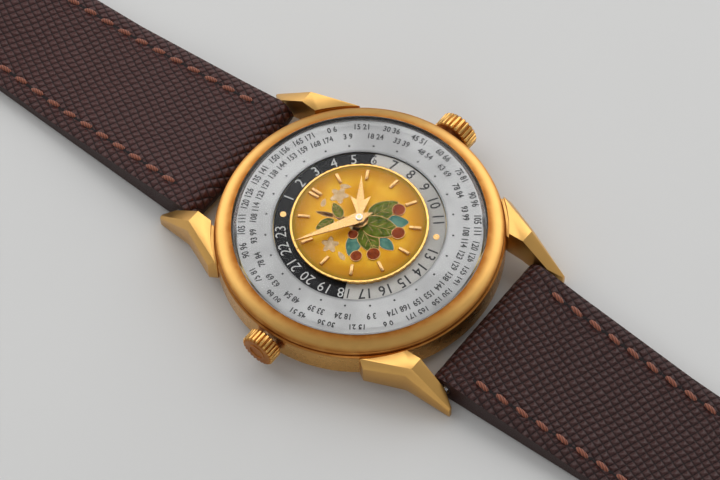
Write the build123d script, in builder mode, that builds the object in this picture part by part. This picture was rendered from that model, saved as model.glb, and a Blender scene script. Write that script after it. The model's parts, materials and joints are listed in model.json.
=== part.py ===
from build123d import *
import os
from math import atan2, cos, degrees, hypot, pi, radians, sin

# World time wristwatch. Millimetres, +X at three o'clock, +Y at twelve o'clock, +Z out of the dial.
# The origin is the middle of the flat face that the case back rests on.
os.makedirs("parts", exist_ok=True)

# Clearances and overruns
fit_gap = 0.03
running_gap = 0.05
bore_gap = 0.05
axial_gap = 0.1
soft_gap = 0.3
overrun = 5.0

# Case band, round the movement and its casing ring
plate_radius = 13.15
casing_wall = 2.95
band_wall = 2.1
band_height = 3.9
band_foot = 1.6
band_top_chamfer = 0.15
band_foot_chamfer = 0.3
band_inner = plate_radius + casing_wall
band_radius = band_inner + band_wall
band_top = band_foot + band_height

# Bezel, set in from the band
bezel_inset = 0.2
bezel_width = 2.07
bezel_edge_height = 0.8
bezel_lip_height = 1.57
bezel_lip_thickness = 0.35
bezel_crown_rise = 0.08
bezel_lip_flat = 0.15
bezel_rim_inset = 0.1
bezel_rim_thickness = 0.1
bezel_bead_height = 0.62
bezel_bead_depth = 0.3
bezel_radius = band_radius - bezel_inset
bezel_lip_radius = bezel_radius - bezel_width

# Crystal
crystal_flange_width = 0.67
crystal_wall = 0.33
crystal_shoulder = 0.5
crystal_flange_radius = bezel_lip_radius + crystal_flange_width
crystal_flange_inner = bezel_lip_radius - crystal_wall
crystal_wall_inner = crystal_flange_inner - crystal_shoulder
crystal_wall_height = 0.45
crystal_dome_height = 4.25
crystal_thickness = 1.0
crystal_edge_break = 0.12

# Case back and its gasket
back_inset = 0.6
back_rim_width = 2.0
back_rise_width = 2.1
back_wall = 0.7
back_radius = band_radius - back_inset
back_rise_radius = back_radius - back_rim_width
back_rest_radius = back_rise_radius - back_rise_width
back_rise_share = 0.3
back_rise_bend_share = 2.6
back_skirt_height = 0.7
back_skirt_wall = 0.8
gasket_inset = 0.5
gasket_width = 0.5
gasket_radius = band_inner + gasket_inset
gasket_height = 0.35

# Spring bars, clear of the band
bar_reach = 2.7
bar_z = 2.15
bar_radius = 0.75
bar_y = band_radius + bar_reach
bar_pivot_radius = 0.4
bar_end_gap = 0.25
bar_pivot_depth = 0.6

# Lugs, for the one at positive X and Y: out from the strap's side, in from the band and up from its top
strap_width = 20.2
strap_side_gap = 0.3
lug_crest_out = 1.83
lug_crest_in = 0.74
lug_crest_up = 0.92
lug_tip_out = 1.35
lug_tip_reach = 2.05
lug_tip_z = 1.75
lug_tip_flat = 0.25
lug_tip_foot_z = 0.05
lug_knee_out = 0.15
lug_knee_reach = 0.3
lug_horn_out = 4.05
lug_horn_in = 6.45
lug_horn_up = 0.3
lug_wall_kink_out = 2.6
lug_wall_kink_in = 1.1
lug_wall_kink_drop = 0.03
lug_wall_horn_out = 4.65
lug_wall_horn_in = 6.0
lug_wall_tip_out = 1.55
lug_foot_rise = 0.3
lug_bezel_gap = 0.55
lug_step_drop = 0.25
lug_face = strap_width / 2 + strap_side_gap
lug_crest_x = lug_face + lug_crest_out
lug_crest_y = band_radius - lug_crest_in
lug_crest_z = band_top + lug_crest_up
lug_tip_x = lug_face + lug_tip_out
lug_tip_y = bar_y + lug_tip_reach
lug_knee_x = lug_face + lug_knee_out
lug_knee_y = bar_y + lug_knee_reach
lug_horn_x = lug_face + lug_horn_out
lug_horn_y = band_radius - lug_horn_in
lug_horn_z = band_top + lug_horn_up
lug_wall_kink_x = lug_face + lug_wall_kink_out
lug_wall_kink_y = band_radius - lug_wall_kink_in
lug_wall_kink_z = band_top - lug_wall_kink_drop
lug_wall_horn_x = lug_face + lug_wall_horn_out
lug_wall_horn_y = band_radius - lug_wall_horn_in
lug_wall_tip_x = lug_face + lug_wall_tip_out
lug_foot_z = band_foot + lug_foot_rise

# Crowns, tubes and stems
winding_crown_radius = 2.65
winding_crown_length = 2.2
winding_crown_gap = 0.5
city_crown_radius = 2.3
city_crown_length = 1.9
city_crown_gap = 0.4
crown_axis_z = 3.6
crown_flutes = 24
crown_flute_depth = 0.25
crown_land_share = 0.24
crown_groove_share = 0.38
crown_bevel = 0.2
crown_ring_share = 0.52
crown_ring_width = 0.25
crown_ring_height = 0.1
tube_radius = 1.2
tube_recess = 0.3
tube_reach = 0.65
tube_end_gap = 0.45
tube_inner_x = band_inner + tube_recess
crown_bore_depth = tube_reach + tube_end_gap
winding_crown_foot = band_radius + winding_crown_gap
city_crown_foot = band_radius + city_crown_gap
stem_radius = 0.5
stem_pivot_radius = 0.3
setting_travel = 0.8

# Movement plates
plate_top = 4.5
plate_thickness = 1.1
rim_wall = 0.55
rim_depth = 1.55
bridge_thickness = 0.6
pivot_radius = 0.2
pivot_depth = 0.3
pillar_screw_share = 0.5
pillar_radius = 0.7
casing_height = 2.2
world_plate_inner = 7.75
world_plate_thickness = 1.35

# City disc and its gear ring
city_side_gap = 0.15
city_thickness = 0.35
city_top = 6.55
city_gear_height = 0.3
city_gear_inset = 0.25
city_gear_reach = 0.35
city_outer = crystal_flange_inner - city_side_gap
city_gear_outer = city_outer - city_gear_inset
city_gear_pitch = plate_radius + city_gear_reach
city_gear_teeth = 72
city_pinion_teeth = 6
city_drive_radius = 2.3
city_drive_thickness = 0.3
city_stem_pinion_radius = 0.85
city_stem_pinion_length = 1.4
city_drive_teeth = 16
city_stem_teeth = 8

# Day and night ring and its gearing
night_outer = 10.62
night_side_gap = 0.1
city_inner = night_outer + night_side_gap
night_inner = 6.9
night_thickness = 0.35
night_top = 6.3
night_gear_outer = 7.6
night_gear_height = 0.45
night_gear_pitch = 6.0
night_gear_teeth = 32
night_sun_teeth = 16
night_idler_teeth = 8
night_idler_heading = 150

# Centre of the dial
dial_radius = 8.6
dial_rim_wall = 0.3
dial_rim_teeth = 60
dial_rim_groove = 0.1
dial_foot = 6.5
dial_base_thickness = 0.2
enamel_thickness = 0.3
dial_rim_rise = 0.08
dial_hole = 1.4
dial_pin_radius = 0.4
dial_pin_headings = (60, 240)
marker_centre_radius = 6.91
marker_length = 1.55
marker_width = 0.47
marker_height = 0.25
marker_double_gap = 0.06
marker_taper = 12
marker_singles = 11
marker_first_heading = 120
marker_sweep = 330

# Hands, at ten to two
minute_heading = 149.8
hour_heading = 35.5
minute_length = 8.6
minute_tail = 1.87
minute_half_width = 0.74
minute_widest = 0.55
minute_waist_y = 0.75
minute_waist = 0.42
hour_length = 6.6
hour_neck_y = 1.05
hour_neck = 0.4
hour_barb_y = 3.6
hour_barb = 1.33
hour_notch_y = 3.0
hour_notch = 0.5
hour_boss_radius = 1.1
hand_thickness = 0.2
hour_hand_z = 7.45
minute_hand_z = 7.95
cap_height = 0.15

# Motion work
cannon_teeth = 6
minute_wheel_teeth = 18
minute_pinion_teeth = 6
hour_wheel_teeth = 24
motion_distance = 3.2
minute_wheel_heading = -30
wheel_thickness = 0.2
arbor_radius = 0.28
cannon_radius = 0.58
cannon_seat_radius = 0.44
hour_pipe_radius = 0.9
sun_thickness = 0.25
stud_radius = 0.3
minute_stud_height = 0.7

# Going train
barrel_distance_share = 0.4981
barrel_heading = 50
barrel_teeth = 36
centre_pinion_teeth = 6
barrel_height = 0.85
barrel_wall = 0.35
barrel_floor = 0.2
barrel_arbor_radius = 0.6
train_teeth = 36
train_pinion_teeth = 6
third_distance_share = 0.2981
third_heading = 215
fourth_distance_share = 0.2662
fourth_heading = 265
escape_distance_share = 0.2342
escape_heading = 330
escape_teeth = 15
escape_radius = 1.9
escape_tooth_shares = ((0, 1), (0.12, 0.97), (0.35, 0.76), (0.78, 0.74))
pallet_shares = (0.1141, -0.5513)
balance_shares = (0.3802, -0.5475)
balance_radius = 3.2
balance_rim = 0.45
balance_thickness = 0.35
roller_radius = 0.45
fork_half_width = 0.18
fork_arm = 1.25
hairspring_turns = 4
hairspring_pitch = 0.45
hairspring_width = 0.1
hairspring_start = 0.55
mainspring_turns = 4
mainspring_pitch = 0.8
mainspring_width = 0.16
mainspring_start = 1.3

# Keyless work
crown_wheel_share = 0.73
crown_wheel_teeth = 12
ratchet_teeth = 24
contrate_radius = 1.4
contrate_wall = 0.5
contrate_tooth = 0.25
contrate_teeth = 12
contrate_slot_length = 1.5
winding_pinion_radius = 0.9
winding_pinion_teeth = 10
winding_pinion_length = 0.85
clutch_length = 0.85
clutch_groove_share = 0.33
clutch_groove_depth = 0.2
stem_way_length = 2.2
keyless_wheel_thickness = 0.25
click_heading = 150
click_reach = 1.35
click_radius = 0.6
screw_radius = 0.6
screw_shank_radius = 0.3
screw_head_height = 0.3
lever_thickness = 0.24
lever_half_width = 0.8
stem_groove_depth = 0.15

# Tooth form: pointed teeth, as shares of the module above and below the pitch circle
tooth_tip_share = 0.75
tooth_root_share = 1.1

# Strap, keepers and buckle
strap_end_width = 16.0
strap_taper_end = 86.0
strap_thickness = 4.1
strap_thin = 2.2
strap_thin_y = 44.0
long_strap_end = 136.0
long_strap_point = 9.0
strap_holes = 7
strap_hole_pitch = 6.5
strap_hole_first = 26.0
strap_hole_radius = 0.8
buckle_bar_y = 94.0
strap_ramp_y = 54.0
strap_ramp_end_y = 66.0
strap_lift = 1.25
strap_fold_radius = 1.6
strap_slot_width = 3.0
strap_slot_length = 6.0
keeper_width = 5.0
keeper_wall = 1.05
keeper_fixed_y = 86.5
keeper_free_y = 78.5
keeper_height = 4.7
keeper_rest_gap = 0.1
buckle_wall = 1.8
buckle_depth = 13.6
buckle_thickness = 1.8
buckle_bow = 2.4
buckle_corner = 2.2
buckle_bar_radius = 0.6
tongue_width = 2.0
tongue_thickness = 0.9
tongue_eye_radius = 1.2
tongue_overhang = 0.5
tongue_bow_share = 0.9
tongue_tip_share = 0.33


def keep(piece, label):
    piece.part.label = label
    export_step(piece.part, f"parts/{label}.step")


def wheel_points(teeth, pitch_radius, phase, inward=False):
    # Corners of a toothed rim whose first tooth points at the phase, in degrees
    module = 2 * pitch_radius / teeth
    way = -1 if inward else 1
    tip = pitch_radius + way * tooth_tip_share * module
    root = pitch_radius - way * tooth_root_share * module
    step = 360 / teeth
    points = []
    for half_tooth in range(2 * teeth):
        radius = root if half_tooth % 2 else tip
        angle = radians(phase + half_tooth * step / 2)
        points.append((radius * cos(angle), radius * sin(angle)))
    return points


def pitch_within(teeth, tip_radius):
    # The pitch radius of a wheel whose teeth end at a radius
    return tip_radius / (1 + 2 * tooth_tip_share / teeth)


def meshed_phase(driver_teeth, driver_phase, driven_teeth, heading, inward=False):
    # Turns the driven wheel so that a gap faces the driver's tooth along the line of centres
    share = (driver_phase - heading) * driver_teeth / 360
    if inward:
        return heading + (0.5 + share) * 360 / driven_teeth
    return heading + 180 + (0.5 - share) * 360 / driven_teeth


def away(start, distance, heading):
    # The point at a distance and heading from another
    return (start[0] + distance * cos(radians(heading)), start[1] + distance * sin(radians(heading)))


def pitch_radius_of(teeth, mate_teeth, distance):
    return distance * teeth / (teeth + mate_teeth)


def cap_radius(half_width, rise):
    # The radius of a dome that rises over a half width
    return (half_width**2 + rise**2) / (2 * rise)


def level(place, height):
    # A horizontal plane over a place in plan
    return Plane(origin=(place[0], place[1], height))


def add_disc(place, height, radius, thickness, mode=Mode.ADD):
    with BuildSketch(level(place, height)) as disc:
        Circle(radius)
    extrude(disc.sketch, amount=thickness, mode=mode)


def add_wheel(place, height, thickness, teeth, pitch_radius, phase):
    with BuildSketch(level(place, height)) as wheel:
        Polygon(*wheel_points(teeth, pitch_radius, phase), align=None)
    extrude(wheel.sketch, amount=thickness)


def add_rod(side, start, length, radius, height, mode=Mode.ADD):
    # A rod along X from a start on one side of the watch, outwards
    with BuildSketch(Plane(origin=(side * start, 0, height), z_dir=(side, 0, 0))) as rod:
        Circle(radius)
    extrude(rod.sketch, amount=length, mode=mode)


# Places in plan and levels worked out from the sizes
middle = (0, 0)
barrel_distance = plate_radius * barrel_distance_share
third_distance = plate_radius * third_distance_share
fourth_distance = plate_radius * fourth_distance_share
escape_distance = plate_radius * escape_distance_share
barrel_place = away(middle, barrel_distance, barrel_heading)
third_place = away(middle, third_distance, third_heading)
fourth_place = away(third_place, fourth_distance, fourth_heading)
escape_place = away(fourth_place, escape_distance, escape_heading)
pallet_place = tuple(plate_radius * share for share in pallet_shares)
balance_place = tuple(plate_radius * share for share in balance_shares)
minute_wheel_place = away(middle, motion_distance, minute_wheel_heading)
crown_wheel_x = plate_radius * crown_wheel_share
crown_wheel_place = (crown_wheel_x, 0)
city_pinion_pitch = city_gear_pitch * city_pinion_teeth / city_gear_teeth
city_drive_place = (city_pinion_pitch - city_gear_pitch, 0)
night_idler_pitch = night_gear_pitch * night_idler_teeth / night_gear_teeth
night_sun_pitch = night_gear_pitch * night_sun_teeth / night_gear_teeth
night_idler_place = away(middle, night_gear_pitch - night_idler_pitch, night_idler_heading)
plate_floor = plate_top - plate_thickness
rim_foot = plate_floor - rim_depth
bridge_foot = rim_foot - bridge_thickness
world_plate_top = plate_top + world_plate_thickness
casing_foot = plate_top - casing_height
pillar_share_places = ((-0.61, 0.55), (0.86, 0.33), (-0.77, -0.14), (-0.5, -0.76), (0.68, -0.65))
pillar_places = [(plate_radius * x, plate_radius * y) for x, y in pillar_share_places]
crown_mesh = hypot(crown_wheel_x - barrel_place[0], barrel_place[1])
crown_mesh_heading = degrees(atan2(-barrel_place[1], crown_wheel_x - barrel_place[0]))
ratchet_pitch = pitch_radius_of(ratchet_teeth, crown_wheel_teeth, crown_mesh)
crown_wheel_pitch = pitch_radius_of(crown_wheel_teeth, ratchet_teeth, crown_mesh)

# Case band, with the groove of the back gasket and the holes for both crown tubes
with BuildPart() as case_band:
    with BuildSketch(Plane.XZ):
        with BuildLine():
            Polyline(
                (band_inner, band_foot),
                (band_radius - band_foot_chamfer, band_foot),
                (band_radius, band_foot + band_foot_chamfer),
                (band_radius, band_top - band_top_chamfer),
                (band_radius - band_top_chamfer, band_top),
                (band_inner, band_top),
                close=True,
            )
        make_face()
    revolve(axis=Axis.Z)
    with BuildSketch(Plane.XY.offset(band_foot)):
        Circle(gasket_radius + gasket_width / 2)
        Circle(gasket_radius - gasket_width / 2, mode=Mode.SUBTRACT)
    extrude(amount=gasket_height, mode=Mode.SUBTRACT)
    for side in (1, -1):
        add_rod(side, tube_inner_x - overrun, 2 * overrun, tube_radius, crown_axis_z, Mode.SUBTRACT)
keep(case_band, "case_band")

with BuildPart() as back_gasket:
    with BuildSketch(Plane.XY.offset(band_foot)):
        Circle(gasket_radius + gasket_width / 2)
        Circle(gasket_radius - gasket_width / 2, mode=Mode.SUBTRACT)
    extrude(amount=gasket_height)
keep(back_gasket, "back_gasket")

# Bezel: a convex ring over a half-round bead, whose lip holds the crystal's flange down
lip_foot = band_top + bezel_lip_height - bezel_lip_thickness
with BuildPart() as bezel:
    with BuildSketch(Plane.XZ):
        with BuildLine():
            top_start = (bezel_lip_radius + bezel_lip_flat, band_top + bezel_lip_height)
            top_end = (bezel_radius - bezel_rim_inset, band_top + bezel_edge_height)
            top_middle = (
                (top_start[0] + top_end[0]) / 2,
                (top_start[1] + top_end[1]) / 2 + bezel_crown_rise,
            )
            bead_top = (bezel_radius - bezel_bead_depth, band_top + bezel_bead_height)
            bead_middle = (bezel_radius, band_top + bezel_bead_height / 2)
            bead_foot = (bezel_radius - bezel_bead_depth, band_top)
            Line((bezel_lip_radius, band_top + bezel_lip_height), top_start)
            ThreePointArc(top_start, top_middle, top_end)
            Polyline(top_end, (top_end[0], top_end[1] - bezel_rim_thickness), bead_top)
            ThreePointArc(bead_top, bead_middle, bead_foot)
            Polyline(
                bead_foot,
                (crystal_flange_radius, band_top),
                (crystal_flange_radius, lip_foot),
                (bezel_lip_radius, lip_foot),
                (bezel_lip_radius, band_top + bezel_lip_height),
            )
        make_face()
    revolve(axis=Axis.Z)
keep(bezel, "bezel")

# Crystal: a domed plate with an upright wall and a flange under the bezel's lip
wall_outer = bezel_lip_radius - fit_gap
wall_top = band_top + bezel_lip_height + crystal_wall_height
dome_top = band_top + crystal_dome_height
with BuildPart() as crystal:
    with BuildSketch(Plane.XZ):
        with BuildLine():
            dome_edge = (wall_outer - crystal_edge_break, wall_top)
            inner_edge = (crystal_wall_inner, lip_foot + crystal_thickness / 2)
            inner_top = dome_top - crystal_thickness
            RadiusArc((0, dome_top), dome_edge, cap_radius(dome_edge[0], dome_top - wall_top))
            Polyline(
                dome_edge,
                (wall_outer, wall_top - crystal_edge_break),
                (wall_outer, lip_foot),
                (crystal_flange_radius - fit_gap, lip_foot),
                (crystal_flange_radius - fit_gap, band_top),
                (crystal_flange_inner, band_top),
                (crystal_flange_inner, city_top + axial_gap),
                inner_edge,
            )
            RadiusArc(inner_edge, (0, inner_top), -cap_radius(inner_edge[0], inner_top - inner_edge[1]))
            Line((0, inner_top), (0, dome_top))
        make_face()
    revolve(axis=Axis.Z)
keep(crystal, "crystal")

# Case back: a flat to rest on, a rounded rise and a skirt that snaps into the band
with BuildPart() as case_back:
    with BuildSketch(Plane.XZ):
        with BuildLine():
            rise_foot = (back_rise_radius, band_foot * back_rise_share)
            Line((0, 0), (back_rest_radius, 0))
            rise_bend = (back_rise_radius - back_rest_radius) * back_rise_bend_share
            RadiusArc((back_rest_radius, 0), rise_foot, -rise_bend)
            Polyline(
                rise_foot,
                (back_radius, band_foot - band_foot_chamfer),
                (back_radius, band_foot),
                (band_inner - fit_gap, band_foot),
                (band_inner - fit_gap, band_foot + back_skirt_height),
                (band_inner - back_skirt_wall, band_foot + back_skirt_height),
                (band_inner - back_skirt_wall, back_wall),
                (0, back_wall),
                (0, 0),
            )
        make_face()
    revolve(axis=Axis.Z)
keep(case_back, "case_back")

# Lug: its plan and its side view meet in a block, and two planes cut the outer bevels
horn_slope = (lug_crest_z - lug_horn_z) / (lug_crest_y - lug_horn_y)
lug_root_y = lug_horn_y - lug_bezel_gap
lug_root_z = lug_crest_z - horn_slope * (lug_crest_y - lug_root_y + lug_bezel_gap)
crest_corner = Vector(lug_crest_x, lug_crest_y, lug_crest_z)
horn_corner = Vector(lug_horn_x, lug_horn_y, lug_horn_z)
tip_corner = Vector(lug_tip_x, lug_tip_y, lug_tip_z)
wall_corner = Vector(lug_wall_kink_x, lug_wall_kink_y, lug_wall_kink_z)
horn_bevel = (wall_corner - crest_corner).cross(crest_corner - horn_corner)
tip_bevel = (wall_corner - crest_corner).cross(tip_corner - crest_corner)
with BuildPart() as first_lug:
    with BuildSketch():
        Polygon(
            (lug_face, lug_root_y),
            (lug_wall_horn_x - lug_bezel_gap, lug_root_y),
            (lug_wall_horn_x, lug_wall_horn_y),
            (lug_wall_kink_x, lug_wall_kink_y),
            (lug_wall_tip_x, lug_tip_y),
            (lug_tip_x - lug_tip_flat, lug_tip_y),
            (lug_knee_x, lug_knee_y),
            (lug_face, lug_crest_y),
            align=None,
        )
    extrude(amount=lug_crest_z + lug_bezel_gap)
    with BuildSketch(Plane.YZ):
        Polygon(
            (lug_root_y - lug_bezel_gap, lug_foot_z),
            (lug_root_y - lug_bezel_gap, lug_root_z),
            (lug_crest_y, lug_crest_z),
            (lug_tip_y, lug_tip_z),
            (lug_tip_y, lug_tip_foot_z),
            (lug_crest_y, lug_foot_z),
            align=None,
        )
    extrude(amount=lug_wall_horn_x + overrun, mode=Mode.INTERSECT)
    for corner, normal in ((crest_corner, horn_bevel), (crest_corner, tip_bevel)):
        upward = normal if normal.Z > 0 else -normal
        split(bisect_by=Plane(origin=corner, z_dir=upward), keep=Keep.BOTTOM)
    with BuildSketch(Plane.XY):
        Circle(band_radius)
    extrude(amount=lug_crest_z + lug_bezel_gap, mode=Mode.SUBTRACT)
    with BuildSketch(Plane.XY.offset(band_top - lug_step_drop)):
        Circle(bezel_radius + lug_bezel_gap)
    extrude(amount=lug_crest_z, mode=Mode.SUBTRACT)
    with BuildSketch(Plane(origin=(lug_face - bar_pivot_depth, bar_y, bar_z), z_dir=(1, 0, 0))):
        Circle(bar_pivot_radius + bore_gap / 2)
    extrude(amount=2 * bar_pivot_depth + bar_end_gap, mode=Mode.SUBTRACT)

lug_mirrors = {
    "lug_twelve_right": (),
    "lug_twelve_left": (Plane.YZ,),
    "lug_six_right": (Plane.XZ,),
    "lug_six_left": (Plane.YZ, Plane.XZ),
}
for label, planes in lug_mirrors.items():
    with BuildPart() as lug:
        add(first_lug.part)
        for plane in planes:
            mirror(about=plane, mode=Mode.REPLACE)
    keep(lug, label)

# Spring bars: a body between the lugs with a thinner pivot at each end
with BuildPart() as spring_bars:
    for way in (1, -1):
        for radius, half in (
            (bar_radius, lug_face - bar_end_gap),
            (bar_pivot_radius, lug_face + bar_pivot_depth),
        ):
            with BuildSketch(Plane(origin=(0, way * bar_y, bar_z), z_dir=(1, 0, 0))):
                Circle(radius)
            extrude(amount=half, both=True)
keep(spring_bars, "spring_bars")

# Crown tubes, pressed into the band on both sides and reaching into the crowns
with BuildPart() as crown_tubes:
    for side, crown_foot in ((1, winding_crown_foot), (-1, city_crown_foot)):
        tube_length = crown_foot + tube_reach - tube_inner_x
        add_rod(side, tube_inner_x, tube_length, tube_radius, crown_axis_z)
        bore_foot = tube_inner_x - overrun
        add_rod(side, bore_foot, band_radius, stem_radius + bore_gap, crown_axis_z, Mode.SUBTRACT)
keep(crown_tubes, "crown_tubes")


# Crowns: a fluted drum with bevelled ends, a plain raised ring and a bore that clears the tube
def fluted_points(outer):
    points = []
    for flute in range(crown_flutes):
        for share, depth in (
            (-crown_land_share, 0),
            (crown_land_share, 0),
            (crown_groove_share, crown_flute_depth),
            (1 - crown_groove_share, crown_flute_depth),
        ):
            radius = outer - depth
            angle = 2 * pi * (flute + share) / crown_flutes
            points.append((radius * cos(angle), radius * sin(angle)))
    return points


def facing(points, way):
    # The same points seen from the other side when the way is back
    return [(x, way * y) for x, y in points]


for side, crown_foot, crown_length, crown_radius, label in (
    (1, winding_crown_foot, winding_crown_length, winding_crown_radius, "winding_crown"),
    (-1, city_crown_foot, city_crown_length, city_crown_radius, "city_crown"),
):
    inner_face = Plane(origin=(side * crown_foot, 0, crown_axis_z), z_dir=(side, 0, 0))
    outer_face = inner_face.offset(crown_length)
    drum_middle = Vector(side * (crown_foot + crown_length / 2), 0, crown_axis_z)
    with BuildPart() as crown:
        half_drum = (crown_length - 2 * crown_bevel) / 2
        for way in (side, -side):
            with BuildSketch(Plane(origin=drum_middle, x_dir=(0, 1, 0), z_dir=(way, 0, 0))):
                Polygon(*facing(fluted_points(crown_radius), side * way), align=None)
            extrude(amount=half_drum)
            bevel_start = drum_middle + Vector(way * half_drum, 0, 0)
            bevel_plane = Plane(origin=bevel_start, x_dir=(0, 1, 0), z_dir=(way, 0, 0))
            with BuildSketch(bevel_plane):
                Polygon(*facing(fluted_points(crown_radius), side * way), align=None)
            with BuildSketch(bevel_plane.offset(crown_bevel)):
                Polygon(*facing(fluted_points(crown_radius - crown_bevel), side * way), align=None)
            loft(ruled=True)
        with BuildSketch(outer_face):
            Circle(crown_radius * crown_ring_share)
            Circle(crown_radius * crown_ring_share - crown_ring_width, mode=Mode.SUBTRACT)
        extrude(amount=crown_ring_height)
        with BuildSketch(inner_face):
            Circle(tube_radius + running_gap)
        extrude(amount=crown_bore_depth, mode=Mode.SUBTRACT)
    keep(crown, label)

# Stems: the winding stem carries a square for the clutch, the city stem a pinion
winding_stem_outer = winding_crown_foot + crown_bore_depth
city_stem_outer = city_crown_foot + crown_bore_depth
pinion_x = crown_wheel_x + contrate_radius - winding_pinion_length
stem_inner = pinion_x - running_gap
clutch_x = pinion_x + winding_pinion_length + running_gap
groove_x = clutch_x + clutch_length + axial_gap
with BuildPart() as winding_stem:
    add_rod(1, stem_inner, winding_stem_outer - stem_inner, stem_radius, crown_axis_z)
    with BuildSketch(Plane(origin=(groove_x, 0, crown_axis_z), z_dir=(1, 0, 0))):
        Circle(stem_radius + overrun)
        Circle(stem_radius - stem_groove_depth, mode=Mode.SUBTRACT)
    extrude(amount=lever_thickness + running_gap, mode=Mode.SUBTRACT)
keep(winding_stem, "winding_stem")

# Setting lever: a fork that sits in the stem's groove and moves with it
with BuildPart() as setting_lever:
    lever_start = (groove_x + running_gap / 2, 0, crown_axis_z)
    with BuildSketch(Plane(origin=lever_start, x_dir=(0, 1, 0), z_dir=(1, 0, 0))):
        lever_low = plate_top - plate_thickness + axial_gap - crown_axis_z
        lever_high = plate_top - axial_gap - crown_axis_z
        with Locations((0, (lever_low + lever_high) / 2)):
            Rectangle(2 * lever_half_width, lever_high - lever_low)
        Circle(stem_radius - stem_groove_depth + bore_gap, mode=Mode.SUBTRACT)
    extrude(amount=lever_thickness)
keep(setting_lever, "setting_lever")

city_pinion_x = -city_drive_place[0] + city_drive_radius - city_stem_pinion_length / 2
with BuildPart() as city_stem:
    add_rod(-1, city_pinion_x, city_stem_outer - city_pinion_x, stem_radius, crown_axis_z)
    with BuildSketch(Plane(origin=(-city_pinion_x, 0, crown_axis_z), z_dir=(-1, 0, 0))):
        stem_pinion_pitch = pitch_within(city_stem_teeth, city_stem_pinion_radius)
        Polygon(*wheel_points(city_stem_teeth, stem_pinion_pitch, 0), align=None)
    extrude(amount=city_stem_pinion_length / 2)
keep(city_stem, "city_stem")

# Main plate: a cup with its rim toward the back, pillars for the bridges and studs for the motion work
pivots = (third_place, fourth_place, escape_place, pallet_place, balance_place, crown_wheel_place)
dial_pin_reach = night_gear_pitch - night_idler_pitch
dial_pin_places = [away(middle, dial_pin_reach, heading) for heading in dial_pin_headings]
with BuildPart() as main_plate:
    add_disc(middle, plate_floor, plate_radius, plate_thickness)
    with BuildSketch(Plane.XY.offset(rim_foot)):
        Circle(plate_radius)
        Circle(plate_radius - rim_wall, mode=Mode.SUBTRACT)
    extrude(amount=rim_depth)
    with BuildSketch(Plane.XY.offset(rim_foot)):
        with Locations(*pillar_places):
            Circle(pillar_radius)
    extrude(amount=rim_depth)
    add_disc(minute_wheel_place, plate_top, stud_radius, minute_stud_height)
    add_disc(night_idler_place, plate_top, stud_radius, world_plate_thickness)
    add_disc(middle, plate_floor - overrun, arbor_radius + bore_gap, 2 * overrun, Mode.SUBTRACT)
    for place in pivots:
        add_disc(place, plate_floor, pivot_radius + bore_gap, pivot_depth, Mode.SUBTRACT)
    add_disc(barrel_place, plate_floor, barrel_arbor_radius + bore_gap, pivot_depth, Mode.SUBTRACT)
    for place in pillar_places:
        add_disc(place, rim_foot, screw_shank_radius, rim_depth * pillar_screw_share, Mode.SUBTRACT)
    add_disc(city_drive_place, plate_floor, pivot_radius + bore_gap, plate_thickness, Mode.SUBTRACT)
    for place in dial_pin_places:
        add_disc(place, plate_floor, dial_pin_radius, plate_thickness, Mode.SUBTRACT)
    keyless_end = plate_radius + fit_gap
    with BuildSketch(Plane.XY.offset(plate_floor)):
        with Locations(((stem_inner - axial_gap + keyless_end) / 2, 0)):
            Rectangle(keyless_end - stem_inner + axial_gap, 2 * (winding_pinion_radius + axial_gap))
    extrude(amount=plate_thickness, mode=Mode.SUBTRACT)
    with BuildSketch(Plane.XY.offset(plate_floor)):
        with Locations((keyless_end, 0)):
            Rectangle(stem_way_length, 2 * (stem_radius + bore_gap))
    extrude(amount=plate_floor - crown_axis_z - stem_radius - bore_gap, mode=Mode.SUBTRACT)
keep(main_plate, "main_plate")

# Casing ring: fills the space between the movement and the band, with ways for both stems
with BuildPart() as casing_ring:
    with BuildSketch(Plane.XY.offset(casing_foot)):
        Circle(band_inner - fit_gap)
        Circle(plate_radius + fit_gap, mode=Mode.SUBTRACT)
    extrude(amount=casing_height)
    add_rod(1, 0, band_radius, stem_radius + bore_gap, crown_axis_z, Mode.SUBTRACT)
    add_rod(-1, 0, band_radius, city_stem_pinion_radius + axial_gap, crown_axis_z, Mode.SUBTRACT)
keep(casing_ring, "casing_ring")

# World time plate: the floor that the city disc and the day and night ring turn on
with BuildPart() as world_plate:
    with BuildSketch(Plane.XY.offset(plate_top)):
        Circle(band_inner - fit_gap)
        Circle(world_plate_inner, mode=Mode.SUBTRACT)
    extrude(amount=band_top - plate_top)
    with BuildSketch(Plane.XY.offset(band_top)):
        Circle(crystal_flange_inner - fit_gap)
        Circle(world_plate_inner, mode=Mode.SUBTRACT)
    extrude(amount=world_plate_top - band_top)
    drive_room = city_drive_thickness + 2 * axial_gap
    add_disc(city_drive_place, plate_top, city_drive_radius + 2 * axial_gap, drive_room, Mode.SUBTRACT)
    add_disc(city_drive_place, plate_top, arbor_radius + bore_gap, world_plate_thickness, Mode.SUBTRACT)
    pinion_room = city_stem_pinion_radius + 2 * axial_gap
    add_rod(-1, city_pinion_x - axial_gap, band_radius, pinion_room, crown_axis_z, Mode.SUBTRACT)
keep(world_plate, "world_time_plate")

# City disc and the ring of inward teeth under it
with BuildPart() as city_disc:
    with BuildSketch(Plane.XY.offset(city_top - city_thickness)):
        Circle(city_outer)
        Circle(city_inner, mode=Mode.SUBTRACT)
    extrude(amount=city_thickness)
keep(city_disc, "city_disc")

city_gear_foot = city_top - city_thickness - city_gear_height
city_gear_phase = meshed_phase(city_pinion_teeth, 0, city_gear_teeth, 180, inward=True)
with BuildPart() as city_gear:
    with BuildSketch(Plane.XY.offset(city_gear_foot)):
        Circle(city_gear_outer)
        Polygon(*wheel_points(city_gear_teeth, city_gear_pitch, city_gear_phase, True), align=None,
                mode=Mode.SUBTRACT)
    extrude(amount=city_gear_height)
keep(city_gear, "city_gear_ring")

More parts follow.
